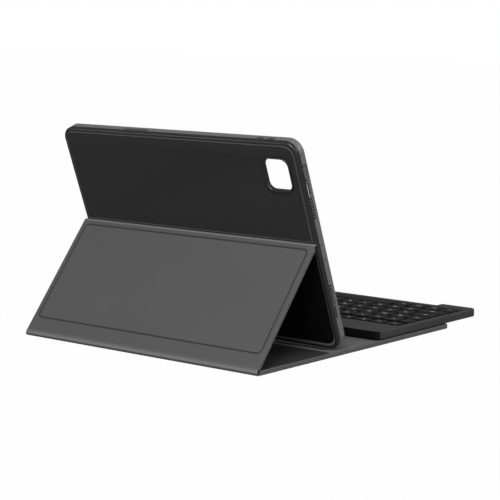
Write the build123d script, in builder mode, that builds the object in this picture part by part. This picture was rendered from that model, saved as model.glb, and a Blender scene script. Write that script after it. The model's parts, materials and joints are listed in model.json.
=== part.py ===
"""Folding tablet case with a detachable keyboard, opened as a stand.

Millimetres, +Z up.  +X is the typist's right, +Y points away from the typist.  The origin is
the centre of the rectangle that the whole case covers, on the surface that it stands on.

Four rigid bodies carry everything: the base panel on the table, the leg behind the tablet,
the tray that grips the tablet, and the keyboard that lies on the base.
"""
import os
from math import cos, hypot, radians, sin, tan

from build123d import *

os.makedirs("parts", exist_ok=True)

# ---------------------------------------------------------------- driving dimensions
# Tablet that the tray takes
tablet_width = 247.6
tablet_height = 178.5
tablet_thickness = 5.9
tablet_corner = 9.0
tablet_gap = 0.2            # clearance around the tablet on every side

# Tray
tray_side_wall = 2.0
tray_end_wall = 2.55
tray_floor = 1.8
tray_lip = 1.3              # thickness of the lip that holds the screen edge
tray_lip_overlap = 1.5
tray_back_round = 2.4
lining_thickness = 0.5
leather_thickness = 0.8
leather_inset = 3.4         # tray edge showing around the back panel
leather_round = 9.0

# Stand
tray_tilt = 69.04           # tray above the table, degrees
leg_angle = 51.35           # leg above the table, degrees
fold_height = 95.8          # middle fold above the tray's lower edge, along the tray
panel_width = 253.0
panel_round = 8.0
leg_thickness = 3.0
base_thickness = 3.2
base_reach = 167.0          # base in front of the tray's foot
tray_lift = 0.9             # tray's foot above the base lining
fold_clearance = 0.4        # leg above the tray's back when folded flat
hinge_gap = 0.35            # running gap beside each rounded fold

# Layers of the panels
skin = 1.0
lining = 0.8
skin_edge = 1.5
board_gap = 0.25            # gap around a board inside its skin

# Keyboard
key_width = 250.4
key_depth = 147.9
key_tab_depth = 9.4         # corner tabs in front of the front edge
key_tab_width = 37.0
key_round = 6.0
key_step_round = 2.0
key_setback = 55.6          # keyboard's rear edge in front of the tray's foot
key_foot = 1.1              # rubber foot height
foot_gap = 0.1
key_shell_height = 4.4      # bottom shell
key_deck_height = 2.4       # top deck above the shell
key_wall = 1.5
key_floor = 1.1
deck_plate = 1.1

# Keys
cap_gap = 2.0               # between neighbouring caps
cap_rise = 0.6              # cap top above the deck
cap_wall = 0.9
cap_height = 2.4
key_travel = 1.2
key_field = 242.0           # width shared by every row
letter_pitch = 16.7
row_pitch = 17.6
function_depth = 13.5
well_margin = 1.2
first_row = 42.4            # function row's centre behind which the flat strip lies
number_row = 61.0           # number row's centre from the keyboard's rear edge

# Buttons
power_travel = 0.3
press_travel = 0.6
switch_travel = 3.0

# ---------------------------------------------------------------- worked-out sizes
tray_width = tablet_width + 2 * (tablet_gap + tray_side_wall)
tray_height = tablet_height + 2 * (tablet_gap + tray_end_wall)
cavity_width = tablet_width + 2 * tablet_gap
cavity_height = tablet_height + 2 * tablet_gap
cavity_depth = lining_thickness + tablet_thickness + tablet_gap / 2
tray_depth = tray_floor + cavity_depth + tray_lip
tray_corner = tablet_corner + tablet_gap + tray_side_wall

leg_half = leg_thickness / 2
axis_offset = leg_half + fold_clearance      # middle fold behind the tray's back
tilt = radians(tray_tilt)
rise = base_thickness + tray_lift

# Both fold axes in a frame whose Y is zero at the tray's foot
mid_y = fold_height * cos(tilt) + axis_offset * sin(tilt)
mid_z = rise + fold_height * sin(tilt) - axis_offset * cos(tilt)
rear_z = base_thickness / 2
rear_y = mid_y + (mid_z - rear_z) / sin(radians(leg_angle)) * cos(radians(leg_angle))
leg_span = hypot(rear_y - mid_y, mid_z - rear_z)

keyboard_reach = key_setback + key_depth + key_tab_depth
foot_y = (keyboard_reach - rear_y - leg_half) / 2     # centres the whole case on the origin
rear_axis_y = foot_y + rear_y
mid_axis_y = foot_y + mid_y
apex_angle = 180 - tray_tilt - leg_angle
# Boards and linings stop this far from the rear axis, so that the folded panels clear
fold_relief = base_thickness / 2 / tan(radians(leg_angle) / 2) + hinge_gap

tray_plane = Plane(origin=(0, foot_y, rise), x_dir=(1, 0, 0), z_dir=(0, -sin(tilt), cos(tilt)))
leg_plane = Plane(
    origin=(0, rear_axis_y, rear_z),
    x_dir=(1, 0, 0),
    z_dir=(0, -sin(radians(leg_angle)), -cos(radians(leg_angle))),
)
profile_plane = Plane(origin=(0, rear_axis_y, rear_z), x_dir=leg_plane.y_dir, z_dir=(1, 0, 0))


def save(piece: BuildPart, name: str) -> None:
    """Label one finished piece and write it as its own STEP file."""
    piece.part.label = name
    export_step(piece.part, f"parts/{name}.step")



# ---------------------------------------------------------------- base panel
base_front = foot_y - base_reach
base_rear = rear_axis_y - fold_relief
skin_tongue = fold_relief - leg_half - hinge_gap     # base skin reaching to the rear fold
base_length = base_rear - base_front
base_mid_y = (base_front + base_rear) / 2
board_width = panel_width - 2 * (skin_edge + board_gap)
board_height = base_thickness - skin - lining
board_split = foot_y - key_setback + 12.0    # soft seam between the two boards
seam_gap = 3.0
front_board_y = base_front + skin_edge + board_gap
rear_board_end = base_rear - skin_edge - board_gap
front_board_length = board_split - seam_gap / 2 - front_board_y
rear_board_length = rear_board_end - board_split - seam_gap / 2
front_board_mid = front_board_y + front_board_length / 2
rear_board_mid = rear_board_end - rear_board_length / 2

magnet_length = 14.0
magnet_width = 5.0
magnet_height = board_height
magnet_fit = 0.1
rail_magnet_pitch = 50.0
rail_magnet_count = 4
hold_magnet_pitch = 90.0
hold_magnet_inset = 18.0    # outer rows of magnets inside the overlap of keyboard and base
rail_front = 11.0           # rail in front of the tray's foot
rail_back = 3.5             # rail behind the tray's foot
rail_length = 236.0
rail_height = tray_lift - 0.35
rail_y = foot_y + (rail_back - rail_front) / 2
key_rear_y = foot_y - key_setback
hold_magnet_y = (key_rear_y + base_front) / 2
hold_magnet_rows = key_rear_y - base_front - 2 * hold_magnet_inset
board_round = panel_round - skin_edge - board_gap


def rail_grid() -> GridLocations:
    """Magnets in one row under the rail, around the current place."""
    return GridLocations(rail_magnet_pitch, 1, rail_magnet_count, 1)


def hold_grid() -> GridLocations:
    """Magnets in two rows under the keyboard, around the current place."""
    return GridLocations(hold_magnet_pitch, hold_magnet_rows, 3, 2)



with BuildPart() as base_outer_skin:
    with BuildSketch(Plane.XY):
        with Locations((0, base_mid_y)):
            Rectangle(panel_width, base_length)
    extrude(amount=skin + board_height)
    front_corners = base_outer_skin.edges().filter_by(Axis.Z).group_by(Axis.Y)[0]
    fillet(front_corners, panel_round)
    with BuildSketch(Plane.XY.offset(skin)):
        with Locations((0, base_mid_y)):
            RectangleRounded(panel_width - 2 * skin_edge, base_length - 2 * skin_edge,
                             panel_round - skin_edge)
    extrude(amount=board_height, mode=Mode.SUBTRACT)
    with BuildSketch(Plane.XY):
        with Locations((0, base_rear + skin_tongue / 2)):
            Rectangle(panel_width, skin_tongue)
    extrude(amount=skin)
save(base_outer_skin, "base_outer_skin")

with BuildPart() as base_front_board:
    with BuildSketch(Plane.XY.offset(skin)):
        with Locations((0, front_board_mid)):
            RectangleRounded(board_width, front_board_length, board_round)
    extrude(amount=board_height)
    with BuildSketch(Plane.XY.offset(skin)):
        with Locations((0, hold_magnet_y)):
            with hold_grid():
                Rectangle(magnet_length + 2 * magnet_fit, magnet_width + 2 * magnet_fit)
    extrude(amount=board_height, mode=Mode.SUBTRACT)
save(base_front_board, "base_front_board")

with BuildPart() as base_rear_board:
    with BuildSketch(Plane.XY.offset(skin)):
        with Locations((0, rear_board_mid)):
            RectangleRounded(board_width, rear_board_length, board_round)
    extrude(amount=board_height)
    with BuildSketch(Plane.XY.offset(skin)):
        with Locations((0, rail_y)):
            with rail_grid():
                Rectangle(magnet_length + 2 * magnet_fit, magnet_width + 2 * magnet_fit)
    extrude(amount=board_height, mode=Mode.SUBTRACT)
save(base_rear_board, "base_rear_board")

with BuildPart() as base_inner_lining:
    with BuildSketch(Plane.XY.offset(base_thickness - lining)):
        with Locations((0, base_mid_y)):
            Rectangle(panel_width, base_length)
    extrude(amount=lining)
    fillet(base_inner_lining.edges().filter_by(Axis.Z).group_by(Axis.Y)[0], panel_round)
save(base_inner_lining, "base_inner_lining")

with BuildPart() as rest_rail:
    with BuildSketch(Plane.XY.offset(base_thickness)):
        with Locations((0, rail_y)):
            SlotOverall(rail_length, rail_front + rail_back)
    extrude(amount=rail_height)
    chamfer(rest_rail.faces().sort_by(Axis.Z)[-1].edges(), rail_height / 3)
save(rest_rail, "rest_rail")

with BuildPart() as rail_magnets:
    with BuildSketch(Plane.XY.offset(skin)):
        with Locations((0, rail_y)):
            with rail_grid():
                Rectangle(magnet_length, magnet_width)
    extrude(amount=magnet_height)
save(rail_magnets, "rail_magnets")

with BuildPart() as keyboard_hold_magnets:
    with BuildSketch(Plane.XY.offset(skin)):
        with Locations((0, hold_magnet_y)):
            with hold_grid():
                Rectangle(magnet_length, magnet_width)
    extrude(amount=magnet_height)
save(keyboard_hold_magnets, "keyboard_hold_magnets")

# ---------------------------------------------------------------- stand leg
spine_height = 15.2         # strip beside the rear fold
spine_seam = 2.6
frame_inset = 5.0           # pressed line inside the leg's edge
frame_top_inset = 4.6
frame_line = 0.5
frame_depth = 0.3
leg_board_height = leg_thickness - skin - lining
leg_board_start = spine_height + spine_seam
leg_board_end = leg_span - leg_half - hinge_gap
leg_board_length = leg_board_end - leg_board_start
spine_board_start = fold_relief
spine_board_length = spine_height - spine_board_start
leg_core_bottom = -leg_half + skin
frame_width = panel_width - 2 * frame_inset
frame_low = spine_height + spine_seam / 2
frame_high = leg_span - frame_top_inset
frame_round = 4.0

with BuildPart() as leg_outer_skin:
    with BuildSketch(profile_plane.offset(-panel_width / 2)):
        with Locations((0, 0), (leg_span, 0)):
            Circle(leg_half)
        with Locations((leg_span / 2, skin / 2 - leg_half)):
            Rectangle(leg_span, skin)
    extrude(amount=panel_width)
    with BuildSketch(leg_plane.offset(-leg_half)):
        with Locations((0, (frame_low + frame_high) / 2)):
            RectangleRounded(frame_width, frame_high - frame_low, frame_round)
            RectangleRounded(frame_width - 2 * frame_line, frame_high - frame_low - 2 * frame_line,
                             frame_round - frame_line, mode=Mode.SUBTRACT)
    extrude(amount=frame_depth, mode=Mode.SUBTRACT)
save(leg_outer_skin, "leg_outer_skin")

with BuildPart() as leg_board:
    with BuildSketch(leg_plane.offset(leg_core_bottom)):
        with Locations((0, leg_board_start + leg_board_length / 2)):
            Rectangle(board_width, leg_board_length)
    extrude(amount=leg_board_height)
save(leg_board, "leg_board")

with BuildPart() as spine_board:
    with BuildSketch(leg_plane.offset(leg_core_bottom)):
        with Locations((0, spine_board_start + spine_board_length / 2)):
            Rectangle(board_width, spine_board_length)
    extrude(amount=leg_board_height)
save(spine_board, "spine_board")

with BuildPart() as leg_inner_lining:
    with BuildSketch(leg_plane.offset(leg_half - lining)):
        with Locations((0, (spine_board_start + leg_board_end) / 2)):
            Rectangle(panel_width, leg_board_end - spine_board_start)
    extrude(amount=lining)
save(leg_inner_lining, "leg_inner_lining")

# ---------------------------------------------------------------- tray
depth_axis = Axis(tray_plane.origin, tray_plane.z_dir)
camera_x = -103.2
camera_height = 155.9
camera_width = 27.0
camera_length = 30.0
camera_round = 8.0
bezel_width = 1.7
bezel_rise = 0.9
bezel_fit = 0.05
port_depth = tray_floor + lining_thickness + tablet_thickness / 2    # middle of the tablet's edge
slot_height = 2.8
hole_height = 1.35
hole_length = 3.4
hole_pitch = 2.35
speaker_heights = [125.8, 48.6]
speaker_holes = 8
long_slot_heights = [141.7, 32.0]
long_slot_length = 13.2
mic_heights = [93.6, 80.3]
button_height = 156.6
button_length = 12.4
button_width = 4.2
button_fit = 0.25
port_height = 90.0
port_length = 14.0
port_width = 5.0
top_slot_x = 43.8
top_slot_length = 27.0
volume_x = [-88.4, -98.9]
volume_length = 8.8
volume_width = 4.0
tray_magnet_start = tray_floor + 0.6
tray_magnet_depth = 4.0
tray_magnet_thickness = 1.4
tray_magnet_height = tray_end_wall + tablet_gap - magnet_fit - tray_magnet_thickness / 2

# Side walls are drawn on planes whose X runs up the tray and whose Y runs in from its back
wall_cut = tray_side_wall + 1.0
left_wall = Plane(origin=tray_plane.from_local_coords((-tray_width / 2 - 0.5, 0, 0)),
                  x_dir=tray_plane.y_dir, z_dir=(1, 0, 0))
right_wall = left_wall.offset(tray_width + 1.0 - wall_cut)
top_wall = Plane(origin=tray_plane.from_local_coords((0, tray_height + 0.5, 0)),
                 x_dir=(1, 0, 0), z_dir=-tray_plane.y_dir)
# The sign that each wall plane's own Y takes towards the screen
left_sign = 1 if left_wall.y_dir.dot(tray_plane.z_dir) > 0 else -1
top_sign = 1 if top_wall.y_dir.dot(tray_plane.z_dir) > 0 else -1

with BuildPart() as tray_shell:
    with BuildSketch(tray_plane):
        with Locations((0, tray_height / 2)):
            RectangleRounded(tray_width, tray_height, tray_corner)
    extrude(amount=tray_depth)
    fillet(tray_shell.faces().sort_by(depth_axis)[0].edges(), tray_back_round)
    with BuildSketch(tray_plane.offset(tray_floor)):
        with Locations((0, tray_height / 2)):
            RectangleRounded(cavity_width, cavity_height, tablet_corner)
    extrude(amount=cavity_depth, mode=Mode.SUBTRACT)
    with BuildSketch(tray_plane.offset(tray_floor + cavity_depth)):
        with Locations((0, tray_height / 2)):
            RectangleRounded(cavity_width - 2 * tray_lip_overlap,
                             cavity_height - 2 * tray_lip_overlap,
                             tablet_corner - tray_lip_overlap)
    extrude(amount=tray_lip, mode=Mode.SUBTRACT)
    with BuildSketch(tray_plane):
        with Locations((camera_x, camera_height)):
            RectangleRounded(camera_width + 2 * bezel_fit, camera_length + 2 * bezel_fit,
                             camera_round)
    extrude(amount=tray_floor, mode=Mode.SUBTRACT)
    for wall, slots in ((left_wall, long_slot_heights), (right_wall, [])):
        with BuildSketch(wall):
            for height in slots:
                with Locations((height, left_sign * port_depth)):
                    SlotOverall(long_slot_length, slot_height)
            for middle in speaker_heights:
                with Locations((middle, left_sign * port_depth)):
                    with GridLocations(hole_pitch, 1, speaker_holes, 1):
                        SlotOverall(hole_length, hole_height, rotation=90)
        extrude(amount=wall_cut, mode=Mode.SUBTRACT)
    with BuildSketch(left_wall):
        for height in mic_heights:
            with Locations((height, left_sign * port_depth)):
                Circle(hole_height / 2)
        with Locations((button_height, left_sign * port_depth)):
            SlotOverall(button_length + 2 * button_fit, button_width + 2 * button_fit)
    extrude(amount=wall_cut, mode=Mode.SUBTRACT)
    with BuildSketch(right_wall):
        with Locations((port_height, left_sign * port_depth)):
            SlotOverall(port_length, port_width)
    extrude(amount=wall_cut, mode=Mode.SUBTRACT)
    with BuildSketch(top_wall):
        with Locations((top_slot_x, top_sign * port_depth)):
            SlotOverall(top_slot_length, slot_height)
        for x in volume_x:
            with Locations((x, top_sign * port_depth)):
                SlotOverall(volume_length, volume_width)
    extrude(amount=tray_end_wall + 1.0, mode=Mode.SUBTRACT)
    with BuildSketch(tray_plane.offset(tray_magnet_start)):
        with Locations((0, tray_magnet_height)):
            with rail_grid():
                Rectangle(magnet_length + 2 * magnet_fit, tray_magnet_thickness + 2 * magnet_fit)
    extrude(amount=tray_magnet_depth + magnet_fit, mode=Mode.SUBTRACT)
save(tray_shell, "tray_shell")

with BuildPart() as tray_lining:
    with BuildSketch(tray_plane.offset(tray_floor)):
        with Locations((0, tray_height / 2)):
            RectangleRounded(cavity_width - 2 * board_gap, cavity_height - 2 * board_gap,
                             tablet_corner)
        with Locations((camera_x, camera_height)):
            RectangleRounded(camera_width, camera_length, camera_round, mode=Mode.SUBTRACT)
    extrude(amount=lining_thickness)
save(tray_lining, "tray_lining")

with BuildPart() as camera_bezel:
    with BuildSketch(tray_plane.offset(-leather_thickness - bezel_rise)):
        with Locations((camera_x, camera_height)):
            RectangleRounded(camera_width, camera_length, camera_round - bezel_fit)
            RectangleRounded(camera_width - 2 * bezel_width, camera_length - 2 * bezel_width,
                             camera_round - bezel_width, mode=Mode.SUBTRACT)
    extrude(amount=leather_thickness + bezel_rise + tray_floor)
save(camera_bezel, "camera_bezel")

leather_start = fold_height + 1.6
leather_end = tray_height - leather_inset
with BuildPart() as back_panel_skin:
    with BuildSketch(tray_plane.offset(-leather_thickness)) as back_outline:
        with Locations((0, (leather_start + leather_end) / 2)):
            Rectangle(tray_width - 2 * leather_inset, leather_end - leather_start)
        fillet(back_outline.vertices().group_by(Axis.Z)[-1], leather_round)
        with Locations((camera_x, camera_height)):
            RectangleRounded(camera_width + 2 * board_gap, camera_length + 2 * board_gap,
                             camera_round, mode=Mode.SUBTRACT)
    extrude(amount=leather_thickness)
save(back_panel_skin, "back_panel_skin")

with BuildPart() as power_button_cover:
    with BuildSketch(left_wall.offset(0.5 - power_travel)):
        with Locations((button_height, left_sign * port_depth)):
            SlotOverall(button_length, button_width)
    extrude(amount=tray_side_wall)
save(power_button_cover, "power_button_cover")

with BuildPart() as tray_magnets:
    with BuildSketch(tray_plane.offset(tray_magnet_start)):
        with Locations((0, tray_magnet_height)):
            with rail_grid():
                Rectangle(magnet_length, tray_magnet_thickness)
    extrude(amount=tray_magnet_depth)
save(tray_magnets, "tray_magnets")

# ---------------------------------------------------------------- keyboard
key_bottom = base_thickness + foot_gap + key_foot
shell_top = key_bottom + key_shell_height
deck_top = shell_top + key_deck_height
floor_top = key_bottom + key_floor
key_front_y = key_rear_y - key_depth
plate_thickness = 0.6
membrane_thickness = 0.4
dome_sheet_thickness = 0.3
plate_top = floor_top + plate_thickness
membrane_top = plate_top + membrane_thickness
domes_base = membrane_top + dome_sheet_thickness
cap_top = deck_top + cap_rise
cap_roof = cap_top - cap_wall
dome_radius = 1.4
dome_gap = 0.3
dome_top = cap_roof - key_travel - 0.5
ring_wall = 0.8
ring_bottom = domes_base + key_travel + 0.5

well_rear = key_rear_y - first_row + function_depth / 2 + well_margin - cap_gap / 2
last_row = number_row + 4 * row_pitch
well_front = key_rear_y - last_row - row_pitch / 2 - well_margin + cap_gap / 2
well_width = key_field - cap_gap + 2 * well_margin
well_depth = well_rear - well_front
well_mid = (well_rear + well_front) / 2
sheet_inset = 2.0
screw_spots = [(-110.0, 8.0), (0.0, 6.0), (110.0, 30.5), (-107.0, 149.5), (0.0, 144.2),
               (107.0, 149.5)]
screw_radius = 0.8
screw_head_radius = 1.7
screw_head_height = 0.8
boss_radius = 2.5
screw_fit = 0.08
screw_bite = 1.0
key_magnet_height = 0.9
key_foot_radius = 4.5
key_foot_x = 112.0
key_foot_spots = [(-key_foot_x, 18.0), (key_foot_x, 18.0), (-key_foot_x, 138.0),
                  (key_foot_x, 138.0)]

board_length = 58.0
board_depth = 22.0
control_board_x = key_width / 2 - key_wall - 1.0 - board_length / 2
control_board_y = key_rear_y - 16.0
control_board_bottom = floor_top + 0.3
control_board_thickness = 0.8
control_board_top = control_board_bottom + control_board_thickness
usb_width = 8.9
usb_height = 3.0
usb_depth = 7.4
usb_wall = 0.3
usb_y = key_rear_y - 21.0
usb_z = control_board_bottom + usb_height / 2
usb_fit = 0.2
switch_y = key_rear_y - 9.0
switch_length = 3.4
switch_height = 1.6
switch_z = control_board_top + 1.1
switch_flange = 0.8
switch_proud = 0.7
pairing_x = 96.0
pairing_y = key_rear_y - 11.0
pairing_radius = 3.0
pairing_fit = 0.2
pairing_rise = 0.3
pairing_flange_height = 0.7
light_x = 84.0
light_radius = 1.0
cell_width = 50.0
cell_depth = 22.0
cell_height = 3.0
cell_spots = [(-58.0, 16.0), (0.0, 20.5)]


def keyboard_outline(inset: float) -> Sketch:
    """Keyboard seen from above, with its two front corner tabs, drawn in by an inset."""
    side = key_width / 2 - inset
    tab = key_width / 2 - key_tab_width + inset
    rear = key_rear_y - inset
    front = key_front_y + inset
    tab_front = front - key_tab_depth
    with BuildSketch(mode=Mode.PRIVATE) as outline:
        with BuildLine():
            Polyline((-side, rear), (side, rear), (side, tab_front), (tab, tab_front),
                     (tab, front), (-tab, front), (-tab, tab_front), (-side, tab_front),
                     close=True)
        make_face()
        fillet(outline.vertices().group_by(Axis.Y)[-1], key_round - inset)
        tabs = outline.vertices().group_by(Axis.Y)[0].sort_by(Axis.X)
        fillet([tabs[0], tabs[-1]], key_round - inset)
        fillet(tabs[1:-1], key_step_round - inset)
    return outline.sketch


def behind(spots: list) -> list:
    """Places given as (x, distance in front of the keyboard's rear edge)."""
    return [(x, key_rear_y - back) for x, back in spots]


with BuildPart() as keyboard_bottom_shell:
    with BuildSketch(Plane.XY.offset(key_bottom)):
        add(keyboard_outline(0))
    extrude(amount=key_shell_height)
    chamfer(keyboard_bottom_shell.faces().sort_by(Axis.Z)[0].edges(), key_floor / 2)
    with BuildSketch(Plane.XY.offset(floor_top)):
        add(keyboard_outline(key_wall))
    extrude(amount=key_shell_height - key_floor, mode=Mode.SUBTRACT)
    with BuildSketch(Plane.XY.offset(floor_top)):
        with Locations(behind(screw_spots)):
            Circle(boss_radius)
    extrude(amount=key_shell_height - key_floor)
    with Locations(Plane.XY.offset(key_bottom)):
        with Locations(behind(screw_spots)):
            Cylinder(screw_radius + screw_fit, key_shell_height, mode=Mode.SUBTRACT,
                     align=(Align.CENTER, Align.CENTER, Align.MIN))
            Cylinder(screw_head_radius + screw_fit, screw_head_height + screw_fit,
                     mode=Mode.SUBTRACT, align=(Align.CENTER, Align.CENTER, Align.MIN))
    with BuildSketch(Plane.XY.offset(key_bottom)):
        with Locations((0, hold_magnet_y)):
            with hold_grid():
                Rectangle(magnet_length + 2 * magnet_fit, magnet_width + 2 * magnet_fit)
    extrude(amount=key_floor, mode=Mode.SUBTRACT)
    with BuildSketch(Plane.YZ.offset(key_width / 2 - key_wall)):
        with Locations((usb_y, usb_z)):
            SlotOverall(usb_width + 2 * usb_fit, usb_height + 2 * usb_fit)
        with Locations((switch_y, switch_z)):
            Rectangle(switch_length + switch_travel + 2 * usb_fit, switch_height + 2 * usb_fit)
    extrude(amount=key_wall, mode=Mode.SUBTRACT)
save(keyboard_bottom_shell, "keyboard_bottom_shell")

with BuildPart() as keyboard_top_deck:
    with BuildSketch(Plane.XY.offset(shell_top)):
        add(keyboard_outline(0))
    extrude(amount=key_deck_height)
    chamfer(keyboard_top_deck.faces().sort_by(Axis.Z)[-1].edges(), deck_plate / 2)
    with BuildSketch(Plane.XY.offset(shell_top)):
        add(keyboard_outline(key_wall))
    extrude(amount=key_deck_height - deck_plate, mode=Mode.SUBTRACT)
    with BuildSketch(Plane.XY.offset(shell_top)):
        with Locations(behind(screw_spots)):
            Circle(boss_radius)
    extrude(amount=key_deck_height - deck_plate)
    with BuildSketch(Plane.XY.offset(shell_top)):
        with Locations(behind(screw_spots)):
            Circle(screw_radius + screw_fit)
    extrude(amount=screw_bite + screw_fit, mode=Mode.SUBTRACT)
    with BuildSketch(Plane.XY.offset(deck_top - deck_plate)):
        with Locations((0, well_mid)):
            RectangleRounded(well_width, well_depth, key_step_round)
        with Locations((pairing_x, pairing_y)):
            Circle(pairing_radius + pairing_fit)
        with Locations((light_x, pairing_y)):
            Circle(light_radius + bezel_fit)
    extrude(amount=deck_plate, mode=Mode.SUBTRACT)
save(keyboard_top_deck, "keyboard_top_deck")

with BuildPart() as key_plate:
    with BuildSketch(Plane.XY.offset(floor_top)):
        with Locations((0, well_mid)):
            Rectangle(well_width - sheet_inset, well_depth - sheet_inset)
    extrude(amount=plate_thickness)
save(key_plate, "key_plate")

with BuildPart() as circuit_membrane:
    with BuildSketch(Plane.XY.offset(plate_top)):
        with Locations((0, well_mid)):
            Rectangle(well_width - sheet_inset, well_depth - sheet_inset)
    extrude(amount=membrane_thickness)
save(circuit_membrane, "circuit_membrane")

# Every row is a list of pitches, left to right, that fills the key field
function_keys = 15
bottom_left_keys = 4
bottom_right_keys = 5
space_pitch = 5 * letter_pitch
bottom_right_pitch = (key_field - bottom_left_keys * letter_pitch - space_pitch) / bottom_right_keys


def row_of(first: float, letters: int) -> list:
    """A wide first key, letter keys, and a last key that takes what is left of the field."""
    letter_keys = [letter_pitch] * letters
    return [first, *letter_keys, key_field - first - sum(letter_keys)]


def row_y(number: int) -> float:
    """Centre line of a full-height row, counted from the number row."""
    return key_rear_y - number_row - number * row_pitch


def key_places(pitches: list, start: float) -> list:
    """Centre and pitch of each key from the field's left edge plus a start."""
    places = []
    left = start - key_field / 2
    for pitch in pitches:
        places.append((left + pitch / 2, pitch))
        left += pitch
    return places


modifier_keys = key_places([letter_pitch] * bottom_left_keys, 0)
modifier_keys += key_places([bottom_right_pitch] * bottom_right_keys,
                            bottom_left_keys * letter_pitch + space_pitch)
lower_keys = row_of(30.3, 10)
shift_right = lower_keys.pop() - letter_pitch
lower_keys += [shift_right, letter_pitch]

key_rows = {
    "function_keys": (key_places([key_field / function_keys] * function_keys, 0),
                      key_rear_y - first_row, function_depth),
    "number_keys": (key_places(row_of(12.9, 12), 0), row_y(0), row_pitch),
    "upper_keys": (key_places(row_of(18.0, 12), 0), row_y(1), row_pitch),
    "home_keys": (key_places(row_of(24.0, 11), 0), row_y(2), row_pitch),
    "lower_keys": (key_places(lower_keys, 0), row_y(3), row_pitch),
    "modifier_keys": (modifier_keys, row_y(4), row_pitch),
    "space_bar": (key_places([space_pitch], bottom_left_keys * letter_pitch), row_y(4),
                  row_pitch),
}

with BuildPart() as dome_sheet:
    with BuildSketch(Plane.XY.offset(membrane_top)):
        with Locations((0, well_mid)):
            Rectangle(well_width - sheet_inset, well_depth - sheet_inset)
    extrude(amount=dome_sheet_thickness)
    with BuildSketch(Plane.XY.offset(domes_base)):
        for places, y, depth in key_rows.values():
            with Locations([(x, y) for x, pitch in places]):
                Circle(dome_radius)
    extrude(amount=dome_top - domes_base)
save(dome_sheet, "dome_sheet")

for row_name, (places, y, depth) in key_rows.items():
    with BuildPart() as key_row:
        with BuildSketch(Plane.XY.offset(cap_top - cap_height)):
            for x, pitch in places:
                with Locations((x, y)):
                    RectangleRounded(pitch - cap_gap, depth - cap_gap, key_step_round)
        extrude(amount=cap_height)
        with BuildSketch(Plane.XY.offset(cap_top - cap_height)):
            for x, pitch in places:
                with Locations((x, y)):
                    RectangleRounded(pitch - cap_gap - 2 * cap_wall, depth - cap_gap - 2 * cap_wall,
                                     key_step_round - cap_wall)
        extrude(amount=cap_height - cap_wall, mode=Mode.SUBTRACT)
        with BuildSketch(Plane.XY.offset(ring_bottom)):
            with Locations([(x, y) for x, pitch in places]):
                Circle(dome_radius + dome_gap + ring_wall)
                Circle(dome_radius + dome_gap, mode=Mode.SUBTRACT)
        extrude(amount=cap_roof - ring_bottom)
    save(key_row, row_name)

with BuildPart() as keyboard_feet:
    with BuildSketch(Plane.XY.offset(key_bottom)):
        with Locations(behind(key_foot_spots)):
            Circle(key_foot_radius)
    extrude(amount=-key_foot)
save(keyboard_feet, "keyboard_feet")

with BuildPart() as keyboard_magnets:
    with BuildSketch(Plane.XY.offset(key_bottom)):
        with Locations((0, hold_magnet_y)):
            with hold_grid():
                Rectangle(magnet_length, magnet_width)
    extrude(amount=key_magnet_height)
save(keyboard_magnets, "keyboard_magnets")

with BuildPart() as keyboard_screws:
    with BuildSketch(Plane.XY.offset(key_bottom)):
        with Locations(behind(screw_spots)):
            Circle(screw_radius)
    extrude(amount=key_shell_height + screw_bite)
    with BuildSketch(Plane.XY.offset(key_bottom)):
        with Locations(behind(screw_spots)):
            Circle(screw_head_radius)
    extrude(amount=screw_head_height)
    with BuildSketch(Plane.XY.offset(key_bottom)):
        with Locations(behind(screw_spots)):
            RegularPolygon(screw_radius, 3)
    extrude(amount=screw_head_height / 2, mode=Mode.SUBTRACT)
save(keyboard_screws, "keyboard_screws")

with BuildPart() as control_board:
    with BuildSketch(Plane.XY.offset(control_board_bottom)):
        with Locations((control_board_x, control_board_y)):
            Rectangle(board_length, board_depth)
        with Locations((key_width / 2 - key_wall - usb_depth / 2, usb_y)):
            Rectangle(usb_depth + 2 * usb_fit, usb_width + 2 * usb_fit, mode=Mode.SUBTRACT)
        with Locations(behind(screw_spots)):
            Circle(boss_radius + usb_fit, mode=Mode.SUBTRACT)
    extrude(amount=control_board_thickness)
save(control_board, "control_board")

with BuildPart() as battery_cells:
    with BuildSketch(Plane.XY.offset(control_board_bottom)):
        with Locations(behind(cell_spots)):
            Rectangle(cell_width, cell_depth)
    extrude(amount=cell_height)
    fillet(battery_cells.edges().filter_by(Axis.X), cell_height / 3)
save(battery_cells, "battery_cells")

with BuildPart() as charging_port:
    with BuildSketch(Plane.YZ.offset(key_width / 2 - key_wall - usb_depth + 1.0)):
        with Locations((usb_y, usb_z)):
            SlotOverall(usb_width, usb_height)
    extrude(amount=usb_depth)
    with BuildSketch(Plane.YZ.offset(key_width / 2 - key_wall + 1.0)):
        with Locations((usb_y, usb_z)):
            SlotOverall(usb_width - 2 * usb_wall, usb_height - 2 * usb_wall)
            Rectangle(usb_width - 8 * usb_wall, 2 * usb_wall, mode=Mode.SUBTRACT)
    extrude(amount=-usb_depth + 2 * usb_wall, mode=Mode.SUBTRACT)
save(charging_port, "charging_port")

with BuildPart() as power_switch_knob:
    with BuildSketch(Plane.YZ.offset(key_width / 2 - key_wall - usb_fit)):
        with Locations((switch_y + switch_travel / 2, switch_z)):
            Rectangle(switch_length, switch_height)
    extrude(amount=key_wall + usb_fit + switch_proud)
    with BuildSketch(Plane.YZ.offset(key_width / 2 - key_wall - usb_fit)):
        with Locations((switch_y + switch_travel / 2, switch_z)):
            Rectangle(switch_length + 2 * switch_flange, switch_height + switch_flange)
    extrude(amount=-switch_flange)
save(power_switch_knob, "power_switch_knob")

with BuildPart() as switch_body:
    with BuildSketch(Plane.XY.offset(control_board_top)):
        with Locations((key_width / 2 - key_wall - switch_flange - 2 * usb_fit - 2.0, switch_y)):
            Rectangle(4.0, switch_length + switch_travel)
    extrude(amount=2.0)
save(switch_body, "switch_body")

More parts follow.
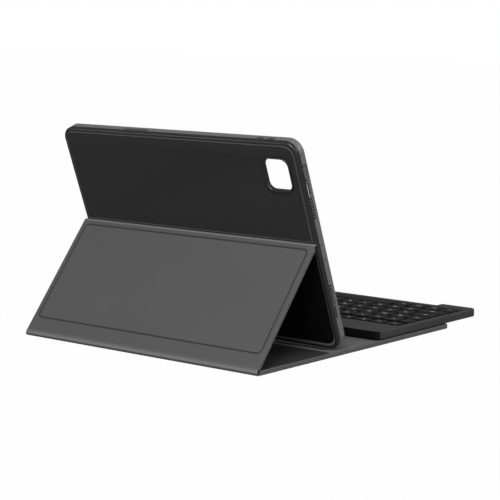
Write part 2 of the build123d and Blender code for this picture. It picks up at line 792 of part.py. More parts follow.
with BuildPart() as pairing_button:
    with BuildSketch(Plane.XY.offset(deck_top + pairing_rise)):
        with Locations((pairing_x, pairing_y)):
            Circle(pairing_radius)
    extrude(amount=-pairing_rise - deck_plate - pairing_fit)
    with BuildSketch(Plane.XY.offset(deck_top - deck_plate - pairing_fit)):
        with Locations((pairing_x, pairing_y)):
            Circle(pairing_radius + pairing_flange_height)
    extrude(amount=-pairing_flange_height)
save(pairing_button, "pairing_button")

pairing_switch_top = deck_top - deck_plate - pairing_fit - pairing_flange_height - press_travel
with BuildPart() as pairing_switch:
    with BuildSketch(Plane.XY.offset(control_board_top)):
        with Locations((pairing_x, pairing_y)):
            Rectangle(2 * pairing_radius, 2 * pairing_radius)
    extrude(amount=pairing_switch_top - usb_fit / 2 - control_board_top)
save(pairing_switch, "pairing_switch")

with BuildPart() as status_light_pipe:
    with BuildSketch(Plane.XY.offset(control_board_top)):
        with Locations((light_x, pairing_y)):
            Circle(light_radius)
    extrude(amount=deck_top - control_board_top)
save(status_light_pipe, "status_light_pipe")

half_turn = 180 - leg_angle
print(f"rear fold axis y {rear_axis_y:.3f} z {rear_z:.3f}, opens {half_turn:.2f} degrees")
print(f"middle fold axis y {mid_axis_y:.3f} z {mid_z:.3f}, closes {apex_angle:.2f} degrees")
print(f"leg span {leg_span:.2f}, foot y {foot_y:.3f}, front {base_front:.2f}")
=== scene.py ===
"""Looks of the folding tablet keyboard case, built around its packed construction model.

Metres, +Z up. +X is the typist's right and +Y points away from the typist.
"""

import json
import logging
import math
from dataclasses import dataclass
from enum import Enum
from typing import Callable, ClassVar, Iterable, NamedTuple, Sequence

import bmesh
import bpy
from mathutils import Matrix, Vector


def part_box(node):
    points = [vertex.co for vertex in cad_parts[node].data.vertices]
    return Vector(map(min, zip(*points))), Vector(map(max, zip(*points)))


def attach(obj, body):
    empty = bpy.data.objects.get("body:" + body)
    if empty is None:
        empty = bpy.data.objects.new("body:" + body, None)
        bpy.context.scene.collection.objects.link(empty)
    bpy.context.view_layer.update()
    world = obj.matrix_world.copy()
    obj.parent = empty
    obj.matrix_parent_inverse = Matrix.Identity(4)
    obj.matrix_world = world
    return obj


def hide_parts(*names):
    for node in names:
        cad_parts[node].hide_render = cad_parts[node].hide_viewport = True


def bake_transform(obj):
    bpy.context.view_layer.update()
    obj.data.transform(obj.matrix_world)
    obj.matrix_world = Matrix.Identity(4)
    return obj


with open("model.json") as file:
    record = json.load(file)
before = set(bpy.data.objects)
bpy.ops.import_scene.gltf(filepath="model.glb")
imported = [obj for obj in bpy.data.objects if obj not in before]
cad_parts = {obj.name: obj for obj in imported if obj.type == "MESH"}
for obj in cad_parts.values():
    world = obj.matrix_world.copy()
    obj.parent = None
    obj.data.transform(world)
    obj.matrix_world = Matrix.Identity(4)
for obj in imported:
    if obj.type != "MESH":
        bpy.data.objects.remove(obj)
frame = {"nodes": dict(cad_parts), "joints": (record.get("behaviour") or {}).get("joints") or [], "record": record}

MM = 0.001
log = logging.getLogger("tablet_case")

Pair = tuple[float, float]
Color = tuple[float, float, float]
Socket = bpy.types.NodeSocket

WELD = 1e-6                 # points nearer than this are one
SHARP_ANGLE = 38            # edges sharper than this aren't smoothed, degrees
FULL_ROUND = 0.999          # corner of a round-ended shape, as a share of its half width


# ---------------------------------------------------------------- node trees
class TreeBuilder:
    """Short ways to add nodes to one node tree."""

    def __init__(self, tree: bpy.types.NodeTree) -> None:
        """Work on one tree."""
        self.tree = tree

    def feed(self, socket: Socket, value: object) -> None:
        """Link a socket, or set its value.

        Args:
            socket: Input socket.
            value: Output socket to link, or a constant.
        """
        if isinstance(value, Socket):
            self.tree.links.new(value, socket)
        else:
            socket.default_value = value

    def node(self, kind: str, **inputs: object) -> bpy.types.Node:
        """Add a node and link or set its inputs, whose names have _ for a space."""
        return self.fill(self.tree.nodes.new(kind), **inputs)

    def fill(self, node: bpy.types.Node, **inputs: object) -> bpy.types.Node:
        """Link or set a node's inputs, whose names have _ for a space.

        Args:
            node: The node.
            inputs: Output sockets or constants, by input name.

        Returns:
            The same node.
        """
        for name, value in inputs.items():
            self.feed(node.inputs[name.replace("_", " ")], value)
        return node

    def calc(self, operation: str, *terms: object, kind: str = "ShaderNodeMath") -> Socket:
        """Output of one Math node, or of one VectorMath node.

        Args:
            operation: Its operation.
            terms: Output sockets or constants, in order.
            kind: Type of the node.

        Returns:
            Its first output.
        """
        node = self.tree.nodes.new(kind)
        node.operation = operation
        for socket, term in zip(node.inputs, terms):
            self.feed(socket, term)
        return node.outputs[0]

    def mix(self, factor: object, first: object, second: object, mode: str = "MIX") -> Socket:
        """Colour mixed from two.

        Args:
            factor: Share of the second colour.
            first: Colour at 0.
            second: Colour at 1.
            mode: Blend type.

        Returns:
            The mixed colour.
        """
        node = self.tree.nodes.new("ShaderNodeMix")
        node.data_type, node.blend_type = "RGBA", mode
        return self.fill(node, Factor=factor, A=first, B=second).outputs["Result"]

    def span(self, value: Socket, low: float, high: float, start: float = 0.0,
             end: float = 1.0) -> Socket:
        """Value carried from the range start-end to the range low-high.

        Args:
            value: Socket of the value.
            low: Result at the start.
            high: Result at the end.
            start: Value that gives low.
            end: Value that gives high.

        Returns:
            The result's socket.
        """
        node = self.node("ShaderNodeMapRange", Value=value, From_Min=start, From_Max=end,
                         To_Min=low, To_Max=high)
        return node.outputs["Result"]


# ---------------------------------------------------------------- finishes
class Grain(Enum):
    """How a surface is textured."""

    LEATHER = "leather"
    SUEDE = "suede"
    MOULDED = "moulded"
    BRUSHED = "brushed"
    SMOOTH = "smooth"


class Facing(Enum):
    """Faces that get painted shade: those that don't look up, or those that look forward or back."""

    SIDES = "Z"
    REAR = "Y"

    @property
    def span(self) -> Pair:
        """Share of the axis in the normal at which a face gets its full painted shade, and none."""
        return (0.55, 0.99) if self is Facing.SIDES else (0.50, 0.25)


@dataclass(frozen=True)
class Finish:
    """One surface finish, made as a procedural material."""

    CLOUDS: ClassVar[float] = 26.0      # mottled areas per metre
    name: str
    color: Color
    roughness: float
    grain: Grain = Grain.MOULDED
    cells: float = 1500.0       # texture cells per metre
    relief: float = 0.12        # bump strength
    mottle: float = 0.10        # share by which the colour varies
    metallic: float = 0.0
    sheen: float = 0.0
    coat: float = 0.0
    specular: float = 0.5
    painted_shade: float = 1.0     # colour left on the faces that get painted shade
    painted_shade_faces: Facing = Facing.SIDES
    line_shade: float = 0.06    # colour left in a pressed line: the pressed leather's darker tone, and painted shade in the groove
    worn_gain: float = 1.9      # colour gained where the leather is lightened: wear, and a painted highlight on the rear roll and ridge

    def material(self) -> bpy.types.Material:
        """Find this finish's material, or build it."""
        found = bpy.data.materials.get(f"finish_{self.name}")
        return found if found else self._build()

    def _tint(self, gain: float) -> tuple[float, float, float, float]:
        """The colour, made lighter or darker."""
        return (*[share * gain for share in self.color], 1)

    def _build(self) -> bpy.types.Material:
        """Build the node tree: mottled colour, painted shade by facing, wear with a painted highlight, pressed
        lines, uneven gloss and a grain relief.

        Returns:
            The new material.
        """
        material = bpy.data.materials.new(f"finish_{self.name}")
        material.use_nodes = True
        tree = TreeBuilder(material.node_tree)
        place = tree.node("ShaderNodeTexCoord").outputs["Object"]
        clouds = tree.node("ShaderNodeTexNoise", Vector=place, Scale=self.CLOUDS,
                           Detail=5.0).outputs["Fac"]
        grain = self._grain(tree, place)

        color = tree.mix(clouds, self._tint(1 - self.mottle), self._tint(1 + self.mottle))
        shade = tree.span(grain, 1.0 - 1.5 * self.mottle, 1.0 + 0.5 * self.mottle)
        color = tree.mix(1.0, color, shade, "MULTIPLY")
        # Painted shade: faces that don't look up, or that look forward or back, are darkened by their normal.
        normal = tree.node("ShaderNodeNewGeometry").outputs["Normal"]
        parts = tree.node("ShaderNodeSeparateXYZ", Vector=normal)
        facing = tree.calc("ABSOLUTE", parts.outputs[self.painted_shade_faces.value])
        shade = tree.span(facing, self.painted_shade, 1.0, *self.painted_shade_faces.span)
        color = tree.mix(1.0, color, shade, "MULTIPLY")
        # One layer lightens the leather for wear and paints a highlight on its rear roll and ridge.
        # The pressed layer darkens the lines: the leather's darker crease, with painted shade in the groove.
        for layer, gain in (("worn", self.worn_gain), ("pressed", self.line_shade)):
            amount = tree.node("ShaderNodeAttribute")
            amount.attribute_name = layer
            color = tree.mix(amount.outputs["Fac"], color, self._tint(gain))

        gloss = tree.span(clouds, self.roughness - 0.05, min(self.roughness + 0.07, 1.0))
        bump = tree.node("ShaderNodeBump", Strength=self.relief, Distance=0.3 / self.cells,
                         Height=grain)
        tree.fill(material.node_tree.nodes["Principled BSDF"], Base_Color=color,
                  Roughness=gloss, Normal=bump.outputs["Normal"], Metallic=self.metallic,
                  Sheen_Weight=self.sheen, Sheen_Roughness=0.6, Coat_Weight=self.coat,
                  Coat_Roughness=0.25, Specular_IOR_Level=self.specular)
        return material

    def _grain(self, tree: TreeBuilder, place: Socket) -> Socket:
        """Build the height pattern of this grain.

        Args:
            tree: The material's tree.
            place: Socket that gives object coordinates.

        Returns:
            A socket with the height, from 0 to 1.
        """
        if self.grain is Grain.LEATHER:
            warp = tree.node("ShaderNodeTexNoise", Vector=place, Scale=self.cells * 0.4)
            moved = tree.calc("MULTIPLY_ADD", warp.outputs["Color"], (0.4 / self.cells,) * 3,
                              place, kind="ShaderNodeVectorMath")
            pores = tree.tree.nodes.new("ShaderNodeTexVoronoi")
            pores.feature = "SMOOTH_F1"
            return tree.fill(pores, Vector=moved, Scale=self.cells).outputs["Distance"]
        soft = self.grain is Grain.SUEDE
        stretch = (0.04, 1.0, 1.0) if self.grain is Grain.BRUSHED else (1.0, 1.0, 1.0)
        drawn = tree.node("ShaderNodeMapping", Vector=place, Scale=stretch)
        noise = tree.node("ShaderNodeTexNoise", Vector=drawn.outputs["Vector"],
                          Scale=self.cells, Detail=6.0 if soft else 2.0,
                          Roughness=0.7 if soft else 0.5)
        return noise.outputs["Fac"]


STAND_LEATHER = Finish("stand_leather", (0.096, 0.096, 0.097), 0.52, Grain.LEATHER, 1500, 0.25,
                       0.06, sheen=0.05, specular=0.4)
# Same leather as the stand, painted darker as the shade on the tray's back, which faces a little down.
SHADED_BACK_LEATHER = Finish("back_leather", (0.0240, 0.0240, 0.0245), 0.55, Grain.LEATHER, 1500, 0.25,
                      0.06, sheen=0.02, specular=0.3)
LINING_SUEDE = Finish("lining_suede", (0.095, 0.095, 0.096), 0.85, Grain.SUEDE, 2600, 0.35, 0.10,
                      sheen=0.12, specular=0.2)
# A dark lining, painted near black as the shade inside the stand and under the leg.
SHADE_BLACK_LINING = Finish("inner_lining", (0.006, 0.006, 0.006), 0.80, Grain.SUEDE, 2600, 0.30,
                      0.10, specular=0.05)
TRAY_SUEDE = Finish("tray_suede", (0.045, 0.045, 0.046), 0.85, Grain.SUEDE, 2600, 0.35, 0.10,
                    sheen=0.05, specular=0.1)
PIPING_LEATHER = Finish("piping_leather", (0.075, 0.075, 0.076), 0.42, Grain.LEATHER, 1500, 0.2,
                        0.05)
# Near black: dark joints, and painted shade in the side wall openings.
JOINT_AND_SHADE_BLACK = Finish("joint_line", (0.003, 0.003, 0.003), 0.60, Grain.SMOOTH, 3000, 0.05, 0.05,
                    specular=0.08)
# Dark pad colour: painted shade under the leg.
SHADE_PAD_SUEDE = Finish("pad_suede", (0.022, 0.022, 0.0225), 0.85, Grain.SUEDE, 2600, 0.30, 0.12,
                   sheen=0.03, specular=0.1)
TRAY_PLASTIC = Finish("tray_plastic", (0.165, 0.165, 0.167), 0.36, Grain.MOULDED, 3200, 0.06,
                      0.04)
RIM_RUBBER = Finish("rim_rubber", (0.022, 0.022, 0.0225), 0.34, Grain.MOULDED, 3000, 0.08, 0.05)
BEZEL_PLASTIC = Finish("bezel_plastic", (0.018, 0.018, 0.019), 0.28, Grain.MOULDED, 3200, 0.04,
                       0.04, coat=0.2)
BUTTON_PLASTIC = Finish("button_plastic", (0.12, 0.12, 0.122), 0.34, Grain.MOULDED, 3200, 0.05,
                        0.04)
# Deck, shell and keys carry painted shade on their rear walls and on the caps' sides.
DECK_PLASTIC = Finish("deck_plastic", (0.064, 0.064, 0.065), 0.50, Grain.MOULDED, 2600, 0.12,
                      0.05, specular=0.12, painted_shade=0.06, painted_shade_faces=Facing.REAR)
SHELL_PLASTIC = Finish("shell_plastic", (0.056, 0.056, 0.057), 0.45, Grain.MOULDED, 2600, 0.12,
                       0.05, specular=0.15, painted_shade=0.08, painted_shade_faces=Facing.REAR)
KEY_PLASTIC = Finish("key_plastic", (0.034, 0.034, 0.035), 0.55, Grain.MOULDED, 3400, 0.08, 0.05,
                     specular=0.06, painted_shade=0.10)
LEGEND_INK = Finish("legend_ink", (0.92, 0.92, 0.92), 0.55, Grain.SMOOTH, 3000, 0.02, 0.03)
PLATE_STEEL = Finish("plate_steel", (0.012, 0.012, 0.013), 0.45, Grain.BRUSHED, 2200, 0.12, 0.08,
                     metallic=0.6)
MAGNET_STEEL = Finish("magnet_steel", (0.60, 0.60, 0.61), 0.28, Grain.BRUSHED, 2200, 0.08, 0.05,
                      metallic=1.0)
BOARD_FIBRE = Finish("board_fibre", (0.13, 0.12, 0.105), 0.80, Grain.BRUSHED, 1800, 0.25, 0.15)
MEMBRANE_FILM = Finish("membrane_film", (0.030, 0.031, 0.030), 0.30, Grain.SMOOTH, 900, 0.03,
                       0.06)
DOME_SILICONE = Finish("dome_silicone", (0.020, 0.020, 0.021), 0.55, Grain.SMOOTH, 1200, 0.04,
                       0.05)
FOOT_RUBBER = Finish("foot_rubber", (0.022, 0.022, 0.022), 0.75, Grain.MOULDED, 2400, 0.2, 0.08)
CIRCUIT_BOARD = Finish("circuit_board", (0.010, 0.075, 0.035), 0.35, Grain.MOULDED, 1500, 0.08,
                       0.12)
CELL_FOIL = Finish("cell_foil", (0.50, 0.51, 0.53), 0.30, Grain.MOULDED, 700, 0.2, 0.06,
                   metallic=0.9)
PORT_METAL = Finish("port_metal", (0.60, 0.60, 0.61), 0.22, Grain.BRUSHED, 3000, 0.06, 0.05,
                    metallic=1.0)
SCREW_STEEL = Finish("screw_steel", (0.09, 0.09, 0.092), 0.32, Grain.BRUSHED, 3000, 0.1, 0.08,
                     metallic=1.0)
LIGHT_LENS = Finish("light_lens", (0.72, 0.74, 0.75), 0.12, Grain.SMOOTH, 800, 0.02, 0.03,
                    coat=0.4)

NODE_FINISHES: dict[str, Finish] = {
    "base_outer_skin": STAND_LEATHER, "base_inner_lining": LINING_SUEDE,
    "keyboard_top_deck": DECK_PLASTIC,
    "base_front_board": BOARD_FIBRE, "base_rear_board": BOARD_FIBRE, "rest_rail": RIM_RUBBER,
    "rail_magnets": MAGNET_STEEL, "keyboard_hold_magnets": MAGNET_STEEL,
    "leg_board": BOARD_FIBRE, "spine_board": BOARD_FIBRE, "tray_shell": TRAY_PLASTIC,
    "tray_lining": TRAY_SUEDE, "tray_magnets": MAGNET_STEEL,
    "power_button_cover": BUTTON_PLASTIC, "keyboard_bottom_shell": SHELL_PLASTIC,
    "key_plate": PLATE_STEEL, "circuit_membrane": MEMBRANE_FILM, "dome_sheet": DOME_SILICONE,
    "keyboard_feet": FOOT_RUBBER, "keyboard_magnets": MAGNET_STEEL,
    "keyboard_screws": SCREW_STEEL, "control_board": CIRCUIT_BOARD,
    "battery_cells": CELL_FOIL, "charging_port": PORT_METAL, "switch_body": SHELL_PLASTIC,
    "pairing_switch": SHELL_PLASTIC, "status_light_pipe": LIGHT_LENS,
    "power_switch_knob": BUTTON_PLASTIC, "pairing_button": BUTTON_PLASTIC,
}


# ---------------------------------------------------------------- frame of the case
SEAT_HEIGHT = 92 * MM       # tablet seat's point above the tray's foot
SEAT_DEPTH = 2.3 * MM       # seat in front of the tray's back
TRAY_SIZE: Pair = (252.0 * MM, 184.0 * MM)
PANEL_INSET = 3.4 * MM      # tray's edge that shows around the back panel
PANEL_LOW = 97.4 * MM
PANEL_HIGH = 180.6 * MM
PANEL_CORNER = 9.0 * MM
CAMERA_CENTER: Pair = (-103.2 * MM, 155.9 * MM)


@dataclass(frozen=True)
class Layout:
    """Fold axes and panel directions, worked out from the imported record."""

    rear_axis: Vector
    middle_axis: Vector
    tray_place: Matrix
    leg_place: Matrix
    leg_span: float
    leg_angle: float

    @classmethod
    def read(cls) -> "Layout":
        """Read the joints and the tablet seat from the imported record.

        Returns:
            The layout.
        """
        joints = {joint["name"]: Vector(joint["pos_m"]) for joint in frame["joints"]
                  if joint["type"] == "hinge"}
        rear, middle = joints["rear_fold"], joints["middle_fold"]
        mounts = {mount["name"]: mount for mount in frame["record"]["mounts"]}
        seat = mounts["tablet_seat"]
        out = Vector(seat["axis"]).normalized()
        up = Vector((0, out.z, -out.y))
        foot = Vector(seat["pos_m"]) - out * SEAT_DEPTH - up * SEAT_HEIGHT
        along = (middle - rear).normalized()
        across = Vector((1, 0, 0))
        return cls(rear, middle, axes_matrix(foot, across, up),
                   axes_matrix(rear, across, along), (middle - rear).length,
                   math.atan2(along.z, -along.y))


def axes_matrix(origin: Vector, x_axis: Vector, y_axis: Vector) -> Matrix:
    """Matrix of a right-handed frame from its origin and its first two axes.

    Args:
        origin: The frame's origin.
        x_axis: Its first axis, of length 1.
        y_axis: Its second axis, of length 1.

    Returns:
        The matrix.
    """
    z_axis = x_axis.cross(y_axis)
    matrix = Matrix((x_axis, y_axis, z_axis)).transposed().to_4x4()
    matrix.translation = origin
    return matrix


# ---------------------------------------------------------------- mesh making
def linked(name: str, data: object) -> bpy.types.Object:
    """New object in the scene.

    Args:
        name: Its name.
        data: Mesh, curve, lamp or camera.

    Returns:
        The linked object.
    """
    thing = bpy.data.objects.new(name, data)
    bpy.context.scene.collection.objects.link(thing)
    return thing


def baked(shape: bpy.types.Object) -> bpy.types.Mesh:
    """Mesh of an object's final shape. The object is removed.

    Args:
        shape: Object with a curve, a text or a live modifier.

    Returns:
        The plain mesh.
    """
    bpy.context.view_layer.update()
    mesh = bpy.data.meshes.new_from_object(
        shape.evaluated_get(bpy.context.evaluated_depsgraph_get()))
    bpy.data.objects.remove(shape)
    return mesh


def welded(mesh: bpy.types.Mesh, dissolve: bool = False) -> bpy.types.Mesh:
    """Merge a mesh's doubles, dissolve its slivers if asked, and turn its faces outward.

    Args:
        mesh: The mesh, which is changed.
        dissolve: Whether slivers go too.

    Returns:
        The same mesh.
    """
    work = bmesh.new()
    work.from_mesh(mesh)
    bmesh.ops.remove_doubles(work, verts=work.verts, dist=WELD)
    if dissolve:
        bmesh.ops.dissolve_degenerate(work, edges=work.edges, dist=WELD / 10)
    bmesh.ops.recalc_face_normals(work, faces=work.faces)
    work.to_mesh(mesh)
    work.free()
    return mesh


def add_loop(curve: bpy.types.Curve, loop: Sequence[Pair], height: float = 0.0) -> None:
    """Add a closed polyline to a curve.

    Args:
        curve: The curve.
        loop: Points of the line.
        height: Its height above the curve's plane.
    """
    spline = curve.splines.new("POLY")
    spline.points.add(len(loop) - 1)
    for point, (x, y) in zip(spline.points, loop):
        point.co = (x, y, height, 1)
    spline.use_cyclic_u = True


def new_object(name: str, mesh: bpy.types.Mesh, finish: Finish, body: str,
               replaces: Iterable[str] = (), ride: bool = True) -> bpy.types.Object:
    """Link a finished mesh as one piece of the case.

    Args:
        name: Piece name.
        mesh: Mesh that stands in its place already.
        finish: Finish of its surface.
        body: Body of the construction model that it rides on.
        replaces: Nodes that it stands for.
        ride: False for a piece that is left off every body.

    Returns:
        The new object.
    """
    mesh.materials.clear()
    mesh.materials.append(finish.material())
    piece = linked(name, mesh)
    for polygon in mesh.polygons:
        polygon.use_smooth = True
    mesh.set_sharp_from_angle(angle=math.radians(SHARP_ANGLE))
    if ride:
        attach(piece, body)
    if replaces:
        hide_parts(*replaces)
    log.info("%s: %d faces on %s", name, len(mesh.polygons), body)
    return piece


def mesh_from(name: str, corners: Sequence[Vector], faces: Sequence[Sequence[int]],
              **layers: Sequence[float]) -> bpy.types.Mesh:
    """Make a mesh with merged doubles and outward normals.

    Args:
        name: Mesh name.
        corners: Points.
        faces: Point numbers of each face.
        layers: Values from 0 to 1 of each point, by the name of their attribute.

    Returns:
        The mesh, with the layers as its attributes.
    """
    mesh = bpy.data.meshes.new(name)
    mesh.from_pydata([tuple(corner) for corner in corners], [], faces)
    for title, values in layers.items():
        layer = mesh.attributes.new(title, "FLOAT", "POINT")
        layer.data.foreach_set("value", list(values))
    return welded(mesh, dissolve=True)


def rounded_loop(width: float, height: float, radius: float, center: Pair = (0.0, 0.0),
                 steps: int = 10) -> list[Pair]:
    """Closed rounded rectangle, anticlockwise from the right of its top right corner.

    Args:
        width: Size across.
        height: Size upward.
        radius: Corner radius.
        center: Its centre.
        steps: Facets in each corner.

    Returns:
        Points of the outline.
    """
    points: list[Pair] = []
    corners = ((1, 1, 0), (-1, 1, 90), (-1, -1, 180), (1, -1, 270))
    for side, top, start in corners:
        middle_x = center[0] + side * (width / 2 - radius)
        middle_y = center[1] + top * (height / 2 - radius)
        for step in range(steps + 1):
            turn = math.radians(start + 90 * step / steps)
            points.append((middle_x + radius * math.cos(turn), middle_y + radius * math.sin(turn)))
    return points


def rounded_path(corners: Sequence[tuple[float, float, float]], steps: int = 8) -> list[Pair]:
    """Closed outline with each corner rounded.

    Args:
        corners: Corner x, y and rounding radius, anticlockwise.
        steps: Facets in each rounded corner.

    Returns:
        Points of the outline.
    """
    points: list[Pair] = []
    count = len(corners)
    for index, (x, y, radius) in enumerate(corners):
        here = Vector((x, y))
        back = (Vector(corners[index - 1][:2]) - here).normalized()
        ahead = (Vector(corners[(index + 1) % count][:2]) - here).normalized()
        reach = radius / math.tan(back.angle(ahead) / 2)
        start, end = here + back * reach, here + ahead * reach
        for step in range(steps + 1):
            t = step / steps
            points.append(tuple((1 - t) ** 2 * start + 2 * t * (1 - t) * here + t * t * end))
    return points


def plate_mesh(name: str, loops: Sequence[Sequence[Pair]], low: float, high: float,
               edge: float, place: Matrix) -> bpy.types.Mesh:
    """Flat plate with holes and rounded edges.

    Args:
        name: Mesh name.
        loops: Outline first, then the holes.
        low: Lower face along the place's own Z.
        high: Upper face.
        edge: Rounding of the edges.
        place: Frame that the loops are drawn in.

    Returns:
        The closed mesh, in the case's frame.
    """
    curve = bpy.data.curves.new(name, "CURVE")
    curve.dimensions = "2D"
    curve.fill_mode = "BOTH"
    curve.extrude = (high - low) / 2 - edge
    curve.bevel_depth = edge
    curve.bevel_resolution = 3
    curve.offset = -edge
    for loop in loops:
        add_loop(curve, loop)
    mesh = baked(linked(name, curve))
    mesh.transform(place @ Matrix.Translation((0, 0, (low + high) / 2)))
    return welded(mesh)


def ring_mesh(name: str, profile: Sequence[Pair], width: float, height: float, radius: float,
              center: Pair, place: Matrix) -> bpy.types.Mesh:
    """Closed ring whose profile follows a rounded rectangle.

    Args:
        name: Mesh name.
        profile: Closed loop of inset from the outline and height above the place's plane.
        width: Outline's width.
        height: Outline's height.
        radius: Outline's corner radius.
        center: Outline's centre.
        place: Frame that the outline is drawn in.

    Returns:
        The closed mesh, in the case's frame.
    """
    corners: list[Vector] = []
    for inset, rise in profile:
        loop = rounded_loop(width - 2 * inset, height - 2 * inset, max(radius - inset, 1e-4),
                            center)
        corners += [place @ Vector((x, y, rise)) for x, y in loop]
    around, rows = len(corners) // len(profile), len(profile)
    faces = [(row * around + step, row * around + (step + 1) % around,
              (row + 1) % rows * around + (step + 1) % around, (row + 1) % rows * around + step)
             for row in range(rows) for step in range(around)]
    return mesh_from(name, corners, faces)


def sheet_mesh(name: str, rows: Sequence[tuple[Vector, Vector, float]],
               columns: Sequence[tuple[float, float]],
               press: Callable[[float, int], float], worn: Sequence[float]
               ) -> bpy.types.Mesh:
    """Soft sheet with rounded sides that follows a path in the YZ plane.

    Args:
        name: Mesh name.
        rows: Middle point, outward direction and half thickness along the path.
        columns: Position across, and the share of the thickness that is left there.
        press: Depth pressed into the outer face, from position across and row number.
        worn: How much each row is lightened by wear and a painted highlight, from 0 to 1.

    Returns:
        The closed mesh.
    """
    outer: list[Vector] = []
    inner: list[Vector] = []
    depths: list[float] = []
    for number, (middle, out, half) in enumerate(rows):
        for x, share in columns:
            across = Vector((x, 0, 0))
            pressed = press(x, number) if share == 1 else 0.0
            outer.append(middle + across + out * (half * share - pressed))
            depths.append(pressed)
            inner.append(middle + across - out * half * share)
    wide, long = len(columns), len(rows)
    corners = outer + inner
    back = len(outer)
    faces: list[tuple[int, ...]] = []
    for row in range(long - 1):
        for column in range(wide - 1):
            a = row * wide + column
            b, c, d = a + 1, a + wide + 1, a + wide
            faces += [(a, b, c, d), (back + d, back + c, back + b, back + a)]
    for row in range(long - 1):
        for column in (0, wide - 1):
            a, d = row * wide + column, (row + 1) * wide + column
            faces.append((a, d, back + d, back + a))
    for column in range(wide - 1):
        for row in (0, long - 1):
            a = row * wide + column
            faces.append((a, a + 1, back + a + 1, back + a))
    deepest = max(max(depths), 1e-6)
    lightened = [worn[number] for number in range(long) for _ in columns]
    return mesh_from(name, corners, faces, pressed=[d / deepest for d in depths] + [0.0] * back,
                     worn=lightened + [0.0] * back)


def side_columns(half_width: float, edge: float, dense: Sequence[Pair], pitch: float
                 ) -> list[tuple[float, float]]:
    """Columns across a sheet: rounded sides, and close columns inside each dense span.

    Args:
        half_width: Half of the sheet's width.
        edge: Width over which a side rounds off.
        dense: Spans, on the positive side, that take fine detail.
        pitch: Spacing of the close columns.

    Returns:
        Position across and the share of thickness left there, from left to right.
    """
    right = [(half_width - edge + edge * math.sin(math.radians(turn)),
              math.cos(math.radians(turn))) for turn in (90, 72, 54, 36, 18, 0)]
    right[-1] = (right[-1][0], 1.0)
    for low, high in dense:
        steps = max(1, round((high - low) / pitch))
        right += [(high - (high - low) * step / steps, 1.0) for step in range(steps + 1)]
    reach = right[-1][0]
    right += [(reach * share, 1.0) for share in (0.66, 0.33)]
    return [(-x, share) for x, share in right] + [(0.0, 1.0)] + right[::-1]


